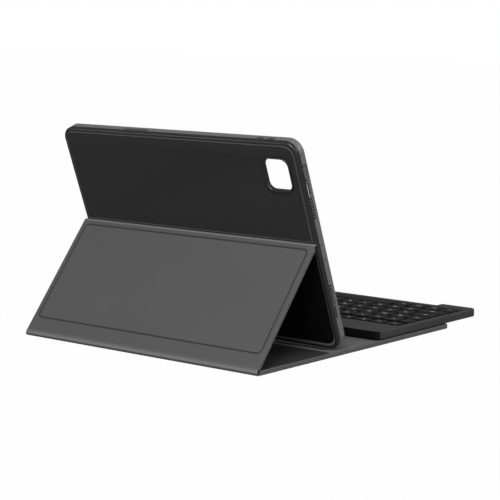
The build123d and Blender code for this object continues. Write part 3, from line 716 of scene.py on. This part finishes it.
# ---------------------------------------------------------------- repeated shapes
class ButtonTree(TreeBuilder):
    """Geometry Nodes tree that sets one rounded, dished button on every point."""

    NAME = "rounded_button"
    SIZES = ("Width", "Depth", "Height", "Round", "Edge", "Dish", "Dish Inset", "Wall", "Hollow")
    EDGE_STEPS = ((0.5, 0.134), (0.866, 0.5), (1.0, 1.0))
    DISH_STEPS = ((0.0, 0.4), (0.55, 0.7), (0.85, 1.0), (1.0, 1.5))

    def __init__(self) -> None:
        """Build the tree."""
        super().__init__(bpy.data.node_groups.new(self.NAME, "GeometryNodeTree"))
        self._build()
        self.sockets = {item.name: item.identifier for item in self.tree.interface.items_tree
                        if item.in_out == "INPUT"}

    def _ring(self, shape: tuple, rise: object, inset: object) -> tuple:
        """Extrude the last face and draw it in.

        Args:
            shape: Geometry so far, the selection of its last face, and that face's inset.
            rise: How far the face moves along its normal.
            inset: Inset of the new face from the button's outline.

        Returns:
            The shape with one more ring.
        """
        geometry, face, before = shape
        extrude = self.node("GeometryNodeExtrudeMesh", Mesh=geometry, Selection=face,
                             Offset_Scale=rise)
        extrude.inputs["Individual"].default_value = False
        shares = []
        for side in ("Width", "Depth"):
            now = self.calc("SUBTRACT", self.given[side], self.calc("MULTIPLY", inset, 2.0))
            old = self.calc("SUBTRACT", self.given[side], self.calc("MULTIPLY", before, 2.0))
            shares.append(self.calc("DIVIDE", now, old))
        scale = self.node("ShaderNodeCombineXYZ", X=shares[0], Y=shares[1], Z=1.0)
        place = self.node("GeometryNodeInputPosition")
        drawn = self.calc("MULTIPLY", place.outputs[0], scale.outputs[0],
                          kind="ShaderNodeVectorMath")
        moved = self.node("GeometryNodeSetPosition", Geometry=extrude.outputs["Mesh"],
                          Selection=extrude.outputs["Top"], Position=drawn)
        return moved.outputs[0], extrude.outputs["Top"], inset

    def _build(self) -> None:
        """Build the tree, from the button's outline to its instances on the points."""
        face = self.tree.interface
        face.new_socket(name="Places", in_out="INPUT", socket_type="NodeSocketGeometry")
        for size in self.SIZES:
            face.new_socket(name=size, in_out="INPUT", socket_type="NodeSocketFloat")
        face.new_socket(name="Finish", in_out="INPUT", socket_type="NodeSocketMaterial")
        face.new_socket(name="Buttons", in_out="OUTPUT", socket_type="NodeSocketGeometry")
        given = self.tree.nodes.new("NodeGroupInput")
        self.given = {socket.name: socket for socket in given.outputs}
        size = self.given

        outline = self.node("GeometryNodeCurvePrimitiveQuadrilateral", Width=size["Width"],
                            Height=size["Depth"])
        rounded = self.tree.nodes.new("GeometryNodeFilletCurve")
        rounded.mode = "POLY"
        self.fill(rounded, Curve=outline.outputs[0], Radius=size["Round"], Count=5)
        filled = self.tree.nodes.new("GeometryNodeFillCurve")
        filled.mode = "NGONS"
        self.fill(filled, Curve=rounded.outputs[0])

        top = (filled.outputs[0], True, 0.0)
        top = self._ring(top, self.calc("SUBTRACT", size["Height"], size["Edge"]), 0.0)
        risen = 0.0
        for rise, inset in self.EDGE_STEPS:
            top = self._ring(top, self.calc("MULTIPLY", size["Edge"], rise - risen),
                             self.calc("MULTIPLY", size["Edge"], inset))
            risen = rise
        sunk = 0.0
        for sink, inset in self.DISH_STEPS:
            reach = self.calc("MULTIPLY", size["Dish Inset"], inset)
            top = self._ring(top, self.calc("MULTIPLY", size["Dish"], sunk - sink),
                             self.calc("ADD", size["Edge"], reach))
            sunk = sink
        flipped = self.node("GeometryNodeFlipFaces", Mesh=filled.outputs[0])
        under = (flipped.outputs[0], True, 0.0)
        under = self._ring(under, 0.0, size["Wall"])
        under = self._ring(under, self.calc("MULTIPLY", size["Hollow"], -1.0), size["Wall"])
        both = self.tree.nodes.new("GeometryNodeJoinGeometry")
        self.tree.links.new(top[0], both.inputs[0])
        self.tree.links.new(under[0], both.inputs[0])
        merged = self.node("GeometryNodeMergeByDistance", Geometry=both.outputs[0],
                            Distance=2e-6)
        placed = self.node("GeometryNodeInstanceOnPoints", Points=size["Places"],
                            Instance=merged.outputs[0])
        real = self.node("GeometryNodeRealizeInstances", Geometry=placed.outputs[0])
        dressed = self.node("GeometryNodeSetMaterial", Geometry=real.outputs[0],
                             Material=size["Finish"])
        out = self.tree.nodes.new("NodeGroupOutput")
        self.tree.links.new(dressed.outputs[0], out.inputs[0])

    def mesh(self, name: str, places: Sequence[Vector], sizes: dict[str, float],
             finish: Finish) -> bpy.types.Mesh:
        """Evaluate the tree on some points.

        Args:
            name: Mesh name.
            places: Middle of each button's foot.
            sizes: The tree's sizes by name; the ones left out are zero.
            finish: Finish of the buttons.

        Returns:
            A plain mesh with every button.
        """
        points = bpy.data.meshes.new(name)
        points.from_pydata([tuple(place) for place in places], [], [])
        carrier = linked(name, points)
        modifier = carrier.modifiers.new("buttons", "NODES")
        modifier.node_group = self.tree
        for size in self.SIZES:
            modifier[self.sockets[size]] = float(sizes.get(size, 0.0))
        modifier[self.sockets["Finish"]] = finish.material()
        result = baked(carrier)
        result.name = name
        return result


def joined(name: str, meshes: Sequence[bpy.types.Mesh]) -> bpy.types.Mesh:
    """One mesh made of several, which are removed.

    Args:
        name: Name of the new mesh.
        meshes: The meshes.

    Returns:
        The new mesh.
    """
    work = bmesh.new()
    for mesh in meshes:
        work.from_mesh(mesh)
    whole = bpy.data.meshes.new(name)
    work.to_mesh(whole)
    work.free()
    for mesh in meshes:
        bpy.data.meshes.remove(mesh)
    return whole


def solids_of(node: str) -> list[tuple[Vector, Vector]]:
    """Boxes of a node's separate solids, from left to right and then front to back.

    Args:
        node: Construction node.

    Returns:
        Lowest and highest corner of each solid.
    """
    work = bmesh.new()
    work.from_mesh(frame["nodes"][node].data)
    bmesh.ops.remove_doubles(work, verts=work.verts, dist=WELD)
    boxes: list[tuple[Vector, Vector]] = []
    waiting = set(work.verts)
    while waiting:
        grown = [waiting.pop()]
        for vert in grown:
            for edge in vert.link_edges:
                other = edge.other_vert(vert)
                if other in waiting:
                    waiting.remove(other)
                    grown.append(other)
        boxes.append((Vector([min(v.co[k] for v in grown) for k in range(3)]),
                      Vector([max(v.co[k] for v in grown) for k in range(3)])))
    work.free()
    return sorted(boxes, key=lambda box: (round(box[0].x, 5), box[0].y))


# ---------------------------------------------------------------- leather
@dataclass
class StandLeather:
    """Leather that wraps the rear fold, covers the leg and ends in a bead at the middle fold."""

    layout: Layout
    width: float = 253.0 * MM
    thickness: float = 1.0 * MM
    panel_half: float = 1.5 * MM
    wrap_radius: float = 2.4 * MM
    edge: float = 0.45 * MM
    bead_turn: float = 104.0
    worn_reach: float = 4.5 * MM
    turn_in: float = 1.5 * MM
    turn_low: float = 3.8 * MM
    turn_end: float = 1.9 * MM
    lining: float = 0.8 * MM
    frame_low: float = 16.9 * MM
    frame_high: float = 112.3 * MM
    frame_inset: float = 5.0 * MM
    frame_round: float = 4.0 * MM
    groove_width: float = 0.62 * MM
    groove_depth: float = 0.28 * MM
    fine_pitch: float = 0.22 * MM       # spacing of rows and columns across a pressed line
    bend_steps: int = 14
    bead_steps: int = 12

    def build(self) -> None:
        """Make the leather, shaped round the rear fold, and leave it off every body."""
        rows, start, end = self._rows()
        line = self.width / 2 - self.frame_inset
        columns = side_columns(self.width / 2, self.edge, [(line - 5 * MM, line + 1 * MM)],
                               self.fine_pitch)
        mesh = sheet_mesh("stand_leather", [row[:3] for row in rows], columns,
                          lambda x, number: self._press(x, rows[number][3]),
                          [self._worn(row) for row in rows])
        piece = new_object("stand_leather", mesh, STAND_LEATHER, "leg",
                           ("leg_outer_skin",), ride=False)
        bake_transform(piece)
        self._edges()
        self._lining()

    def _edges(self) -> None:
        """Turned-in leather along both sides of the leg."""
        outer, inner = self.width / 2, self.width / 2 - self.turn_in
        low, high = self.turn_low, self.layout.leg_span - self.turn_end
        strips = [[(inner, low), (outer, low), (outer, high), (inner, high)],
                  [(-outer, low), (-inner, low), (-inner, high), (-outer, high)]]
        mesh = plate_mesh("leg_side_edges", strips, -self.panel_half + 0.7 * MM, self.panel_half,
                          0.3 * MM, self.layout.leg_place)
        new_object("leg_side_edges", mesh, STAND_LEATHER, "leg")

    def _lining(self) -> None:
        """Dark lining inside the leg, between its turned-in edges, painted near black for the shade inside the
        stand.
        """
        width = self.width - 2 * self.turn_in
        low, high = self.turn_low, self.layout.leg_span - self.turn_end
        loop = [(-width / 2, low), (width / 2, low), (width / 2, high), (-width / 2, high)]
        mesh = plate_mesh("leg_lining", [loop], self.panel_half - self.lining,
                          self.panel_half - 0.1 * MM, 0.15 * MM, self.layout.leg_place)
        piece = new_object("leg_lining", mesh, SHADE_BLACK_LINING, "leg",
                           ("leg_inner_lining",))

    def _rows(self) -> tuple[list[tuple[Vector, Vector, float, float]], Vector, Vector]:
        """Middle line of the leather, from the base's rear edge to the middle fold.

        Returns:
            The rows, each with its middle, outward direction, half thickness and height up
            the leg, then the first and last point of the bend.
        """
        up = Vector((0, -math.cos(self.layout.leg_angle), math.sin(self.layout.leg_angle)))
        out = Vector((0, up.z, -up.y))
        half = self.thickness / 2
        rear, middle = self.layout.rear_axis, self.layout.middle_axis
        reach = self.wrap_radius
        gap = rear.dot(out) + self.panel_half
        center = Vector((0, (gap - reach - reach * out.z) / out.y, reach))
        rows: list[tuple[Vector, Vector, float, float]] = []
        last = math.degrees(math.atan2(out.z, out.y))
        for step in range(self.bend_steps + 1):
            turn = math.radians(-90 + (last + 90) * step / self.bend_steps)
            away = Vector((0, math.cos(turn), math.sin(turn)))
            rows.append((center + away * (reach - half), away, half, -1.0))
        start, end = rows[0][0].copy(), rows[-1][0].copy()
        first = (rows[-1][0] - rear).dot(up)
        heights = [first + 0.8 * MM, 5 * MM, 9 * MM, 13 * MM]
        for low, pitch, count in ((14.2, 0.22, 36), (26, 10, 8), (106.3, 0.22, 32)):
            heights += [(low + pitch * step) * MM for step in range(count)]
        heights.append(self.layout.leg_span - 1 * MM)
        offset = self.panel_half - half
        for height in heights:
            rows.append((rear + up * height + out * offset, out, half, height))
        for step in range(self.bead_steps + 1):
            turn = math.radians(last + self.bead_turn * step / self.bead_steps)
            away = Vector((0, math.cos(turn), math.sin(turn)))
            rows.append((middle + away * offset, away, half, -1.0))
        tip, away = rows[-1][0], rows[-1][1]
        rows.append((tip, away, half * 0.5, -1.0))
        return rows, start, end

    def _worn(self, row: tuple[Vector, Vector, float, float]) -> float:
        """How much wear and a painted highlight lighten the leather at a row: most on the rear roll and on the
        ridge.

        Args:
            row: Middle point, outward direction, half thickness and height up the leg.

        Returns:
            From 0 to 1.
        """
        middle, out, _, height = row
        if height >= 0:
            return max(0.0, 1 - height / self.worn_reach)
        turn = math.degrees(math.atan2(out.z, out.y))
        low_end = middle.z < self.layout.middle_axis.z / 2
        return min(max((turn + 15) / 25, 0.0), 1.0) if low_end else 1.0

    def _press(self, x: float, height: float) -> float:
        """Depth of the pressed lines at one point of the leg's outer face.

        Args:
            x: Position across.
            height: Height up the leg, or less than 0 off it.

        Returns:
            The depth.
        """
        if height < 0:
            return 0.0
        half_x = self.width / 2 - self.frame_inset
        half_y = (self.frame_high - self.frame_low) / 2
        away_x = abs(x) - half_x + self.frame_round
        away_y = abs(height - self.frame_low - half_y) - half_y + self.frame_round
        near = (math.hypot(max(away_x, 0), max(away_y, 0)) + min(max(away_x, away_y), 0)
                - self.frame_round)
        spread = near / self.groove_width
        return self.groove_depth * math.exp(-spread * spread)

    @staticmethod
    def _length(rows: Sequence[tuple[Vector, Vector, float, float]]) -> float:
        """Length of the leather along its middle line."""
        return sum((b[0] - a[0]).length for a, b in zip(rows, rows[1:]))


@dataclass
class BackLeather:
    """Leather panel on the back of the tray, above the middle fold."""

    layout: Layout
    thickness: float = 0.8 * MM
    foot_round: float = 0.6 * MM
    edge: float = 0.3 * MM
    camera_size: Pair = (27.5 * MM, 30.5 * MM)
    camera_round: float = 8.2 * MM

    def build(self) -> None:
        """Make the panel with its camera opening."""
        half, height = TRAY_SIZE[0] / 2 - PANEL_INSET, PANEL_HIGH - PANEL_LOW
        outline = rounded_path([(-half, PANEL_LOW, self.foot_round),
                                (half, PANEL_LOW, self.foot_round),
                                (half, PANEL_HIGH, PANEL_CORNER),
                                (-half, PANEL_HIGH, PANEL_CORNER)])
        hole = rounded_loop(*self.camera_size, self.camera_round, CAMERA_CENTER)
        mesh = plate_mesh("back_leather", [outline, hole], -self.thickness, 0, self.edge,
                          self.layout.tray_place)
        piece = new_object("back_leather", mesh, SHADED_BACK_LEATHER, "tray",
                           ("back_panel_skin",))


@dataclass
class BaseShadePad:
    """Dark pad inside the base, under the leg, whose colour is painted shade of the leg."""

    side_margin: float = 2.2 * MM
    rear_margin: float = 3.0 * MM
    front: float = 62.0 * MM
    corner: float = 3.0 * MM
    thickness: float = 0.15 * MM

    def build(self) -> None:
        """Make the pad on the base's lining."""
        low, high = (Vector(corner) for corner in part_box("base_inner_lining"))
        width = high.x - low.x - 2 * self.side_margin
        rear = high.y - self.rear_margin
        loop = rounded_loop(width, rear - self.front, self.corner,
                            (0, (rear + self.front) / 2), 6)
        mesh = plate_mesh("base_shade_pad", [loop], high.z - 0.02 * MM, high.z + self.thickness,
                          0.05 * MM, Matrix.Identity(4))
        piece = new_object("base_shade_pad", mesh, SHADE_PAD_SUEDE, "base")


# ---------------------------------------------------------------- tray trim
@dataclass
class SideOpenings:
    """Near-black screens in the small round-ended openings of the tray's side walls: painted shade inside the
    holes.
    """

    layout: Layout
    wall: float = 126.0 * MM
    depth: float = 5.25 * MM        # openings' middle in front of the tray's back
    speakers: Pair = (125.8 * MM, 48.6 * MM)
    microphones: Pair = (93.6 * MM, 80.3 * MM)
    holes: int = 8
    pitch: float = 2.35 * MM
    hole_size: Pair = (1.35 * MM, 3.4 * MM)
    recess: float = 0.12 * MM
    thickness: float = 0.35 * MM

    def build(self, buttons: ButtonTree) -> None:
        """Make the screens of the left wall, which has microphones too, then the right one.

        Args:
            buttons: Tree that repeats the shape.
        """
        up = self.layout.tray_place.col[1].to_3d()
        out = self.layout.tray_place.col[2].to_3d()
        foot = self.layout.tray_place.translation + out * self.depth
        first = -(self.holes - 1) / 2 * self.pitch
        slots = [Vector((middle + first + self.pitch * n, 0, 0))
                 for middle in self.speakers for n in range(self.holes)]
        dots = [Vector((height, 0, 0)) for height in self.microphones]
        wide, tall = self.hole_size
        for name, wall, dotted in (("left_opening_shade_screens", self.recess - self.wall, True),
                                   ("right_opening_shade_screens",
                                    self.wall - self.recess - self.thickness, False)):
            meshes = [buttons.mesh("slots", slots, self._sizes(wide, tall), JOINT_AND_SHADE_BLACK)]
            if dotted:
                meshes.append(buttons.mesh("dots", dots, self._sizes(wide, wide), JOINT_AND_SHADE_BLACK))
            mesh = joined(name, meshes)
            mesh.transform(axes_matrix(foot + Vector((wall, 0, 0)), up, out))
            new_object(name, mesh, JOINT_AND_SHADE_BLACK, "tray")

    def _sizes(self, width: float, depth: float) -> dict[str, float]:
        """Sizes of one round-ended screen.

        Args:
            width: Size up the wall.
            depth: Size across the wall.

        Returns:
            The sizes by the names that the tree gives them.
        """
        return {"Width": width, "Depth": depth, "Height": self.thickness,
                "Round": width / 2 * FULL_ROUND, "Edge": 0.05 * MM, "Dish": 0.03 * MM,
                "Dish Inset": 0.15 * MM, "Wall": 0.2 * MM}


@dataclass
class TrayTrim:
    """Rim, joint lines, piping and painted-shade lower panel of the tray, and the camera's surround."""

    layout: Layout
    corner: float = 11.2 * MM
    proud: float = 0.15 * MM
    rim_round: float = 1.9 * MM
    rim_reach: float = 2.55 * MM
    rim_depth: float = 2.6 * MM
    rim_rise: float = 0.35 * MM
    rim_steps: int = 8
    joint_depth: float = 0.8 * MM
    line_proud: float = 0.03 * MM       # how far a joint line stands off its wall
    piping_round: float = 0.42 * MM
    piping_inset: float = 0.1 * MM
    piping_rise: float = 0.62 * MM
    button_size: Pair = (12.4 * MM, 4.2 * MM)
    button_gap: float = 0.7 * MM
    lower_low: float = 5.2 * MM
    lower_high: float = 92.0 * MM
    lower_thickness: float = 0.25 * MM
    camera_size: Pair = (27.0 * MM, 30.0 * MM)
    camera_round: float = 7.95 * MM
    surround_width: float = 1.7 * MM
    surround_back: float = 1.7 * MM     # its rear edge behind the tray's back

    def build(self) -> None:
        """Make every piece."""
        self._rim()
        self._joint_line()
        self._surround()
        self._piping()
        self._lower_shade_panel()
        self._button_joint()

    def _rim(self) -> None:
        """Rounded rim that follows the tray's rear edge."""
        profile: list[Pair] = [(-self.proud, self.rim_depth)]
        for step in range(self.rim_steps + 1):
            turn = math.radians(180 + 90 * step / self.rim_steps)
            profile.append((self.rim_round - self.proud + self.rim_round * math.cos(turn),
                            self.rim_round - self.rim_rise + self.rim_round * math.sin(turn)))
        inner = self.rim_reach + 0.12 * MM
        profile += [(self.rim_reach, -self.rim_rise), (inner, -0.2 * MM), (inner, 0.25 * MM),
                    (0.8 * MM, self.rim_depth)]
        self._around("tray_back_rim", profile, RIM_RUBBER)

    def _joint_line(self) -> None:
        """Dark joint between the rim and the tray's wall."""
        start, end = self.rim_depth - 0.05 * MM, self.rim_depth + self.joint_depth
        proud, sunk = -self.line_proud, 0.35 * MM
        profile = [(proud, start), (sunk, start), (sunk, end), (proud, end)]
        self._around("tray_joint_line", profile[::-1], JOINT_AND_SHADE_BLACK)

    def _around(self, name: str, profile: Sequence[Pair], finish: Finish) -> None:
        """Make a ring that follows the tray's outline.

        Args:
            name: Piece name.
            profile: Closed loop of inset and height.
            finish: Finish of its surface.
        """
        mesh = ring_mesh(name, profile, *TRAY_SIZE, self.corner, (0, TRAY_SIZE[1] / 2),
                         self.layout.tray_place)
        new_object(name, mesh, finish, "tray")

    def _button_joint(self) -> None:
        """Dark running joint round the power button."""
        low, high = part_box("power_button_cover")
        long, wide = (size + 2 * self.button_gap + 0.06 * MM for size in self.button_size)
        middle = (Vector(low) + Vector(high)) / 2
        up = self.layout.tray_place.col[1].to_3d()
        out = self.layout.tray_place.col[2].to_3d()
        wall = Vector((-TRAY_SIZE[0] / 2, middle.y, middle.z))
        gap, proud, sunk = self.button_gap, -self.line_proud, 0.5 * MM
        profile = [(0, proud), (gap, proud), (gap, sunk), (0, sunk)]
        mesh = ring_mesh("button_joint", profile, long, wide, wide / 2, (0, 0),
                         axes_matrix(wall, up, out))
        new_object("button_joint", mesh, JOINT_AND_SHADE_BLACK, "tray")

    def _piping(self) -> None:
        """Thin leather piping along the back panel's edge."""
        half = TRAY_SIZE[0] / 2 - PANEL_INSET - self.piping_inset
        low, high = PANEL_LOW + 1 * MM, PANEL_HIGH - self.piping_inset
        outline = rounded_path([(-half, low, 0.4 * MM), (half, low, 0.4 * MM),
                                (half, high, PANEL_CORNER), (-half, high, PANEL_CORNER)], 14)
        curve = bpy.data.curves.new("back_piping", "CURVE")
        curve.dimensions = "3D"
        curve.bevel_depth, curve.bevel_resolution = self.piping_round, 2
        add_loop(curve, outline, -self.piping_rise)
        mesh = baked(linked("back_piping", curve))
        mesh.transform(self.layout.tray_place)
        new_object("back_piping", mesh, PIPING_LEATHER, "tray")

    def _lower_shade_panel(self) -> None:
        """Near-black sheet on the tray's back below the middle fold: painted shade of the leg."""
        half = TRAY_SIZE[0] / 2 - PANEL_INSET
        middle = (self.lower_low + self.lower_high) / 2
        loop = rounded_loop(2 * half, self.lower_high - self.lower_low, 8 * MM, (0, middle))
        mesh = plate_mesh("tray_lower_shade_panel", [loop], -self.lower_thickness, 0, 0.1 * MM,
                          self.layout.tray_place)
        new_object("tray_lower_shade_panel", mesh, SHADE_BLACK_LINING, "tray")

    def _surround(self) -> None:
        """Rounded ring round the camera opening."""
        wide, back, front = self.surround_width, -self.surround_back, 1.8 * MM
        profile: list[Pair] = [(0, front), (0, back + 0.5 * MM), (0.12 * MM, back + 0.2 * MM),
                               (0.4 * MM, back), (0.8 * MM, back), (1.2 * MM, back + 0.15 * MM),
                               (wide - 0.1 * MM, back + 0.9 * MM), (wide, back + 1.5 * MM),
                               (wide, front)]
        mesh = ring_mesh("camera_surround", profile, *self.camera_size, self.camera_round,
                         CAMERA_CENTER, self.layout.tray_place)
        new_object("camera_surround", mesh, BEZEL_PLASTIC, "tray",
                   ("camera_bezel",))


# ---------------------------------------------------------------- keyboard
@dataclass
class KeyRow:
    """One row of keycaps and the characters on them."""

    node: str
    body: str
    legends: Sequence[str]
    height: float = 2.4 * MM
    corner: float = 1.5 * MM
    edge: float = 0.60 * MM
    dish: float = 0.22 * MM
    dish_reach: float = 2.2 * MM
    wall: float = 0.9 * MM
    hollow: float = 1.5 * MM
    letter_size: float = 4.4 * MM
    word_size: float = 2.5 * MM

    def build(self, buttons: ButtonTree) -> None:
        """Make the caps, which all have the row's depth, and their characters.

        Args:
            buttons: Tree that repeats the shape.
        """
        caps = solids_of(self.node)
        widths = sorted({round(high.x - low.x, 5) for low, high in caps})
        meshes = []
        for width in widths:
            same = [(low, high) for low, high in caps if round(high.x - low.x, 5) == width]
            depth = same[0][1].y - same[0][0].y
            places = [Vector(((low.x + high.x) / 2, (low.y + high.y) / 2, high.z - self.height))
                      for low, high in same]
            sizes = {"Width": width, "Depth": depth, "Height": self.height,
                     "Round": self.corner, "Edge": self.edge, "Dish": self.dish,
                     "Dish Inset": self.dish_reach, "Wall": self.wall, "Hollow": self.hollow}
            meshes.append(buttons.mesh(f"{self.node}_{len(meshes)}", places, sizes,
                                       KEY_PLASTIC))
        new_object(f"{self.node}_caps", joined(f"{self.node}_caps", meshes), KEY_PLASTIC,
                   self.body, (self.node,))
        marks = []
        for (low, high), text in zip(caps, self.legends):
            if text:
                place = Vector(((low.x + high.x) / 2, (low.y + high.y) / 2,
                                high.z - self.dish + 0.02 * MM))
                size = self.letter_size if len(text) == 1 else self.word_size
                marks.append(self._mark(text, size, place))
        if marks:
            new_object(f"{self.node}_marks", joined(f"{self.node}_marks", marks), LEGEND_INK,
                       self.body)

    def _mark(self, text: str, size: float, place: Vector) -> bpy.types.Mesh:
        """Printed characters in the middle of one cap.

        Args:
            text: Characters.
            size: Size of the type.
            place: Middle of the print.

        Returns:
            Its mesh, in place.
        """
        curve = bpy.data.curves.new("mark", "FONT")
        curve.body = text
        curve.size = size
        curve.align_x, curve.align_y = "CENTER", "CENTER"
        curve.extrude = 0.03 * MM
        curve.resolution_u = 2
        mesh = baked(linked("mark", curve))
        mesh.transform(Matrix.Translation(place))
        return mesh


KEY_ROWS = (
    KeyRow("function_keys", "function_keys_row",
           ["esc"] + [f"F{n}" for n in range(1, 13)] + ["ins", "del"]),
    KeyRow("number_keys", "number_keys_row", [*"`1234567890-=", "back"]),
    KeyRow("upper_keys", "upper_keys_row", ["tab", *"QWERTYUIOP[]\\"]),
    KeyRow("home_keys", "home_keys_row", ["caps", *"ASDFGHJKL;'", "enter"]),
    KeyRow("lower_keys", "lower_keys_row", ["shift", *"ZXCVBNM,./", "shift", "up"]),
    KeyRow("modifier_keys", "modifier_keys_row",
           ["fn", "ctrl", "menu", "alt", "alt", "ctrl", "left", "dn", "right"]),
    KeyRow("space_bar", "space_key", []),
)


@dataclass
class KeyboardHardware:
    """Screws and feet under the keyboard."""

    screw_edge: float = 0.25 * MM
    screw_dish: float = 0.5
    foot_edge: float = 0.35 * MM
    foot_dish: float = 0.12

    def build(self, buttons: ButtonTree) -> None:
        """Make the screws and the feet, each over its own construction solid.

        Args:
            buttons: Tree that repeats the shape.
        """
        self._set(buttons, "keyboard_screws", "screw_heads", SCREW_STEEL,
                  self.screw_edge, self.screw_dish)
        self._set(buttons, "keyboard_feet", "rubber_feet", FOOT_RUBBER,
                  self.foot_edge, self.foot_dish)

    def _set(self, buttons: ButtonTree, node: str, name: str, finish: Finish,
             edge: float, dish: float) -> None:
        """Replace a node's round solids, which all have one size, by finer ones.

        Args:
            buttons: Tree that repeats the shape.
            node: Construction node.
            name: Piece name.
            finish: Finish.
            edge: Rounding of the visible edge.
            dish: Depth of the recess as a share of the height.
        """
        boxes = solids_of(node)
        low, high = boxes[0]
        width, depth, height = high - low
        across = min(width, depth)
        sizes = {"Width": width, "Depth": depth, "Height": height,
                 "Round": across / 2 * FULL_ROUND, "Edge": edge, "Dish": height * dish,
                 "Dish Inset": across * 0.12, "Wall": across * 0.3}
        places = [Vector(((a.x + b.x) / 2, -(a.y + b.y) / 2, -b.z)) for a, b in boxes]
        mesh = buttons.mesh(name, places, sizes, finish)
        mesh.transform(Matrix.Rotation(math.pi, 4, "X"))
        new_object(name, mesh, finish, "keyboard", (node,))


# ---------------------------------------------------------------- construction parts
def dress_nodes(finishes: dict[str, Finish]) -> None:
    """Give every construction part that stays in view its own finish.

    Args:
        finishes: Finish of each node, by name.
    """
    for name, finish in finishes.items():
        mesh = frame["nodes"][name].data
        mesh.materials.clear()
        mesh.materials.append(finish.material())
        log.info("%s: finish %s", name, finish.name)


# ---------------------------------------------------------------- studio
class Lamp(NamedTuple):
    """One soft lamp."""

    name: str
    place: tuple[float, float, float]
    size: float
    power: float


LAMPS = (
    Lamp("key_lamp", (-0.75, 1.15, 1.35), 0.8, 23.5),
    Lamp("low_lamp", (1.15, 1.45, 0.30), 0.5, 4.0),
    Lamp("side_lamp", (-1.7, 0.7, 0.7), 0.5, 6.0),
    Lamp("front_lamp", (-1.3, -1.5, 1.2), 1.0, 9.0),
)
LIT_POINT = (0, 0.05, 0.06)


@dataclass
class Studio:
    """Camera, floor, lamps and sky."""

    azimuth: float = 218.748
    elevation: float = 7.889
    roll: float = 0.627
    distance: float = 1.4453
    aim: tuple[float, float, float] = (-0.01169, 0.02751, 0.07319)
    lens: float = 120.98
    sky: float = 0.16
    floor_half: float = 8.0
    floor_white: float = 0.985      # share of the floor that the camera sees as white
    floor_gray: float = 0.30        # what the floor gives back to the case

    def build(self) -> None:
        """Make the whole studio."""
        self._camera()
        self._floor()
        self._sky()
        for lamp in LAMPS:
            self._light(lamp)
        bpy.context.scene.view_settings.view_transform = "Standard"

    def _camera(self) -> None:
        """Long-lens camera, low behind the stand."""
        azimuth, elevation, roll = (math.radians(angle) for angle in
                                    (self.azimuth, self.elevation, self.roll))
        back = Vector((math.sin(azimuth) * math.cos(elevation),
                       -math.cos(azimuth) * math.cos(elevation), math.sin(elevation)))
        level = Vector((math.cos(azimuth), math.sin(azimuth), 0))
        raised = back.cross(level)
        right = math.cos(roll) * level + math.sin(roll) * raised
        data = bpy.data.cameras.new("camera")
        data.lens, data.sensor_width = self.lens, 36
        camera = linked("camera", data)
        camera.matrix_world = axes_matrix(Vector(self.aim) + self.distance * back, right,
                                          back.cross(right))
        bpy.context.scene.camera = camera

    @staticmethod
    def _light(lamp: Lamp) -> None:
        """Hang one lamp, turned to the case.

        Args:
            lamp: The lamp.
        """
        data = bpy.data.lights.new(lamp.name, "AREA")
        data.shape, data.size, data.energy = "DISK", lamp.size, lamp.power
        light = linked(lamp.name, data)
        light.location = lamp.place
        aim = Vector(LIT_POINT) - Vector(lamp.place)
        light.rotation_euler = aim.to_track_quat("-Z", "Y").to_euler()

    def _floor(self) -> None:
        """Pale floor, nearly white in view, that keeps the case's shadow."""
        mesh = bpy.data.meshes.new("floor")
        far = self.floor_half
        mesh.from_pydata([(-far, -far, 0), (far, -far, 0), (far, far, 0), (-far, far, 0)], [],
                         [(0, 1, 2, 3)])
        floor = linked("floor", mesh)
        material = bpy.data.materials.new("floor_paper")
        material.use_nodes = True
        tree, nodes = TreeBuilder(material.node_tree), material.node_tree.nodes
        paper = tree.fill(nodes["Principled BSDF"], Base_Color=(*[self.floor_gray] * 3, 1),
                          Roughness=0.95)
        seen = tree.calc("MULTIPLY", tree.node("ShaderNodeLightPath").outputs["Is Camera Ray"],
                         self.floor_white)
        mixed = tree.node("ShaderNodeMixShader", Fac=seen)
        tree.feed(mixed.inputs[1], paper.outputs[0])
        tree.feed(mixed.inputs[2], tree.node("ShaderNodeEmission").outputs[0])
        tree.fill(nodes["Material Output"], Surface=mixed.outputs[0])
        mesh.materials.append(material)

    def _sky(self) -> None:
        """Even sky, white where the camera sees it."""
        world = bpy.data.worlds.new("sky")
        bpy.context.scene.world = world
        world.use_nodes = True
        tree = TreeBuilder(world.node_tree)
        seen = tree.node("ShaderNodeLightPath").outputs["Is Camera Ray"]
        tree.fill(world.node_tree.nodes["Background"], Color=(1, 1, 1, 1),
                  Strength=tree.span(seen, self.sky, 1.0))


def main() -> None:
    """Build the case piece by piece, and then the studio."""
    logging.basicConfig(level=logging.INFO, format="%(name)s: %(message)s")
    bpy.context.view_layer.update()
    layout = Layout.read()
    buttons = ButtonTree()
    StandLeather(layout).build()
    BackLeather(layout).build()
    BaseShadePad().build()
    TrayTrim(layout).build()
    SideOpenings(layout).build(buttons)
    for row in KEY_ROWS:
        row.build(buttons)
    KeyboardHardware().build(buttons)
    dress_nodes(NODE_FINISHES)
    Studio().build()


if __name__ == "__main__":
    main()
